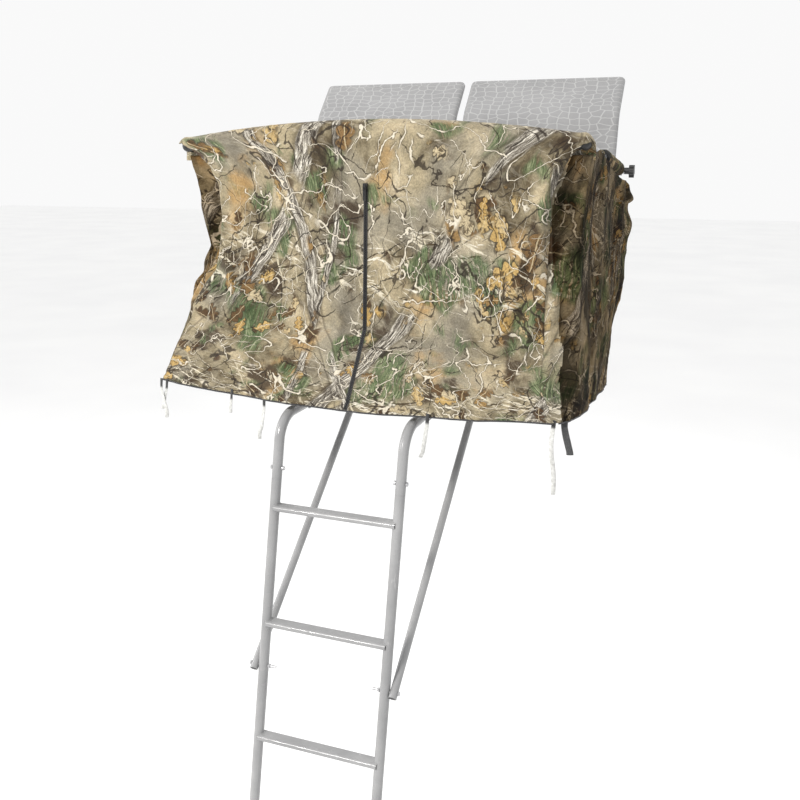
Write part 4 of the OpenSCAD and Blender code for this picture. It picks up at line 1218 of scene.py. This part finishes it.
def apply_modifiers(piece):
    graph = bpy.context.evaluated_depsgraph_get()
    graph.update()
    mesh = bpy.data.meshes.new_from_object(piece.evaluated_get(graph))
    piece.modifiers.clear()
    old, piece.data = piece.data, mesh
    bpy.data.meshes.remove(old)


CHANNELS = [-0.62, -0.31, 0.0, 0.31, 0.62]      # sewn lines, as shares of the pad's half-width
PAD_RISE = 0.36                                 # half a flat pad's thickness, as a share of its CAD solid's
PAD_SIT = 0.005                                 # how far the middle of a pad is sat in


def pad_mesh(name, middle, size):
    """A flat closed pad with round corners and thin edges."""
    columns, rows, corner = 60, 34, 0.046

    def outline(s, t):
        """A place inside the pad's outline with round corners, from s and t between -1 and 1."""
        x, y = s * size.x / 2, t * size.y / 2
        dx, dy = abs(x) - (size.x / 2 - corner), abs(y) - (size.y / 2 - corner)
        if dx > 0 and dy > 0:
            pull = 1 - max(dx, dy) / math.hypot(dx, dy)
            x -= math.copysign(dx * pull, x)
            y -= math.copysign(dy * pull, y)
        return x * 0.985, y * 0.985

    points, faces = [], []
    for face in (1, -1):
        for j in range(rows + 1):
            for i in range(columns + 1):
                s, t = 2 * i / columns - 1, 2 * j / rows - 1
                rise = size.z * PAD_RISE * (1 - max(abs(s), abs(t)) ** 8)
                points.append(middle + Vector((*outline(s, t), face * rise)))
    width = columns + 1
    under = width * (rows + 1)
    for j in range(rows):
        for i in range(columns):
            k = j * width + i
            faces.append((k, k + 1, k + width + 1, k + width))
            faces.append(tuple(under + corner for corner in (k + width, k + width + 1, k + 1, k)))
    mesh = mesh_of(name, points, faces)
    work = bmesh.new()
    work.from_mesh(mesh)
    bmesh.ops.remove_doubles(work, verts=work.verts, dist=0.0002)
    work.to_mesh(mesh)
    work.free()
    return mesh


def quilt(mesh, middle, size):
    """Sew a pad down along its channels and edge, let it be sat in, and lay its cloth flat in UV."""
    for vertex in mesh.vertices:
        x = (vertex.co.x - middle.x) / (size.x / 2)
        y = (vertex.co.y - middle.y) / (size.y / 2)
        edge = max(abs(x), abs(y))
        face = 1 if vertex.co.z > middle.z else -1
        inside = smooth(edge, 0.99, 0.90)
        dent = max(hump((x - c) * size.x / 2, 0, 0.007) for c in CHANNELS)
        vertex.co.z -= face * (0.0026 * inside * dent + 0.0010 * hump(edge, 0.93, 0.012))
        vertex.co.z -= PAD_SIT * inside * (1 - x * x) * (1 - y * y)
    mesh.polygons.foreach_set("use_smooth", [True] * len(mesh.polygons))
    layer = mesh.uv_layers[0] if mesh.uv_layers else mesh.uv_layers.new(name="UVMap")
    for loop in mesh.loops:
        co = mesh.vertices[loop.vertex_index].co
        layer.data[loop.index].uv = (co.x + (0.9 if co.z < middle.z else 0), co.y)


def seat_pads():
    """Quilted seat pads on the flip-up frames: swollen by simulation, then sewn down along channels."""
    low, high = (Vector(c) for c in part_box("seat_sling_left"))
    middle, size = (low + high) / 2, high - low
    mesh = pad_mesh("seat_pad_left", middle, size)
    left = new_object("seat_pad_left", mesh, SEAT, "seat_left")
    puff(left, cap=0.005)
    quilt(left.data, middle, size)
    mirrored = left.data.copy()
    for vertex in mirrored.vertices:
        vertex.co.x = -vertex.co.x
    mirrored.flip_normals()
    right = bpy.data.objects.new("seat_pad_right", mirrored)
    bpy.context.scene.collection.objects.link(right)
    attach(right, "seat_right")
    top = middle.z + size.z * PAD_RISE + 0.001
    for piece, word, sign in ((left, "left", 1), (right, "right", -1)):
        smoothing = piece.modifiers.new("smooth", "SUBSURF")
        smoothing.levels = smoothing.render_levels = 1
        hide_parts(f"seat_sling_{word}")
        for k, c in enumerate(CHANNELS):
            row = []
            for i in range(81):
                y = mix(-0.9, 0.9, i / 80)
                sit = PAD_SIT * (1 - c * c) * (1 - y * y)
                row.append(Vector((sign * (middle.x + c * size.x / 2), middle.y + y * size.y / 2, top - sit)))
            stitches(f"seat_stitches_{word}_{k}", row, THREAD_GREY, f"seat_{word}",
                     pitch=0.009, long=0.006, thick=0.0013)


# ---------------------------------------------------------------- small fittings
def plug(name, origin, way, profile):
    """A round black plug; profile holds (distance along way, radius)."""
    side = way.cross(Vector((0, 0, 1))).normalized()
    up = side.cross(way)
    sides = 28
    points = []
    for far, radius in profile:
        points += ring_points(origin + way * far, radius, side, up, sides)
    faces = ring_faces(len(profile), sides) + end_faces(len(profile), sides)
    mesh = mesh_of(name, points, faces, [(p.x, p.y) for p in points])
    new_object(name, mesh, PLASTIC, "stand")


def end_caps():
    """Black plastic plugs in the open ends of the cross tubes."""
    for node in ("seat_rear_bar", "tree_cross_bar"):
        low, high = (Vector(c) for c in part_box(node))
        radius = (high.z - low.z) / 2
        inner, rim = radius - 0.0022, radius + 0.0004
        profile = [(-0.008, inner), (0.0002, inner), (0.0002, rim), (0.0018, rim),
                   (0.0032, radius - 0.0012), (0.0040, radius * 0.7), (0.0043, radius * 0.3)]
        for side, word in ((-1, "left"), (1, "right")):
            end = Vector((low.x if side < 0 else high.x, (low.y + high.y) / 2, (low.z + high.z) / 2))
            plug(f"{node}_cap_{word}", end, Vector((side, 0, 0)), profile)


LADDER_LEAN = math.radians(12.8)
FIRST_RUNG = Vector((0, -1.500, -0.620))
RUNG_PITCH, RUNGS = 0.362, 8
RAIL_X, RAIL_R = 0.203, 0.015875
RUNG_DEPTH, RUNG_H = 0.044, 0.018


BEADS = 26                                      # along one weld


def weld_path(centre, side, face):
    """Where one rung's oval meets one rail: side is -1 or 1 for the rail, face for below or above."""
    straight = (RUNG_DEPTH - RUNG_H) / 2
    path = []
    for k in range(BEADS + 1):
        y = mix(-0.95, 0.95, k / BEADS) * RAIL_R
        round_part = max(0.0, abs(y) - straight)
        rise = math.sqrt((RUNG_H / 2) ** 2 - round_part ** 2)
        off = y * math.cos(LADDER_LEAN) - face * rise * math.sin(LADDER_LEAN)
        x = RAIL_X - math.sqrt(max(0.0, RAIL_R ** 2 - off ** 2))
        path.append(centre + Vector((side * x, y, face * rise)))
    return path


def rung_welds():
    """Weld beads where each oval rung meets the two rails, above and below."""
    up = Vector((0, math.sin(LADDER_LEAN), math.cos(LADDER_LEAN)))
    sides = 8
    for section, word in ((0, "upper"), (1, "lower")):
        points, faces = [], []
        for number in range(section * RUNGS // 2, (section + 1) * RUNGS // 2):
            for side, face in ((-1, -1), (-1, 1), (1, -1), (1, 1)):
                path = weld_path(FIRST_RUNG - up * RUNG_PITCH * number, side, face)
                faces += ring_faces(BEADS + 1, sides, len(points))
                for j, (point, _, across, out) in enumerate(frames_along(path, Vector((side, 0, 0)))):
                    lump = 0.0019 + 0.0005 * abs(math.sin(j * 1.7 + number)) if 0 < j < BEADS else 0.0007
                    points += ring_points(point, lump, across, out, sides)
        name = f"rung_welds_{word}"
        mesh = mesh_of(name, points, faces, [(p.x, p.z) for p in points])
        new_object(name, mesh, PAINT, "stand")


blind_front()
blind_sides()
hem_piping()
arm_loops()
zip_closure()
foam_pads()
back_sleeves()
seat_pads()
end_caps()
rung_welds()


# ---------------------------------------------------------------- everything that keeps its CAD shape
def finish_cad_nodes():
    for part in frame["record"]["subparts"]:
        node = frame["nodes"].get(part["node"])
        material = LOOKS.get(part["material_slot"])
        if node is None or material is None:
            continue
        for holder in node.material_slots:
            holder.material = material


finish_cad_nodes()
studio()
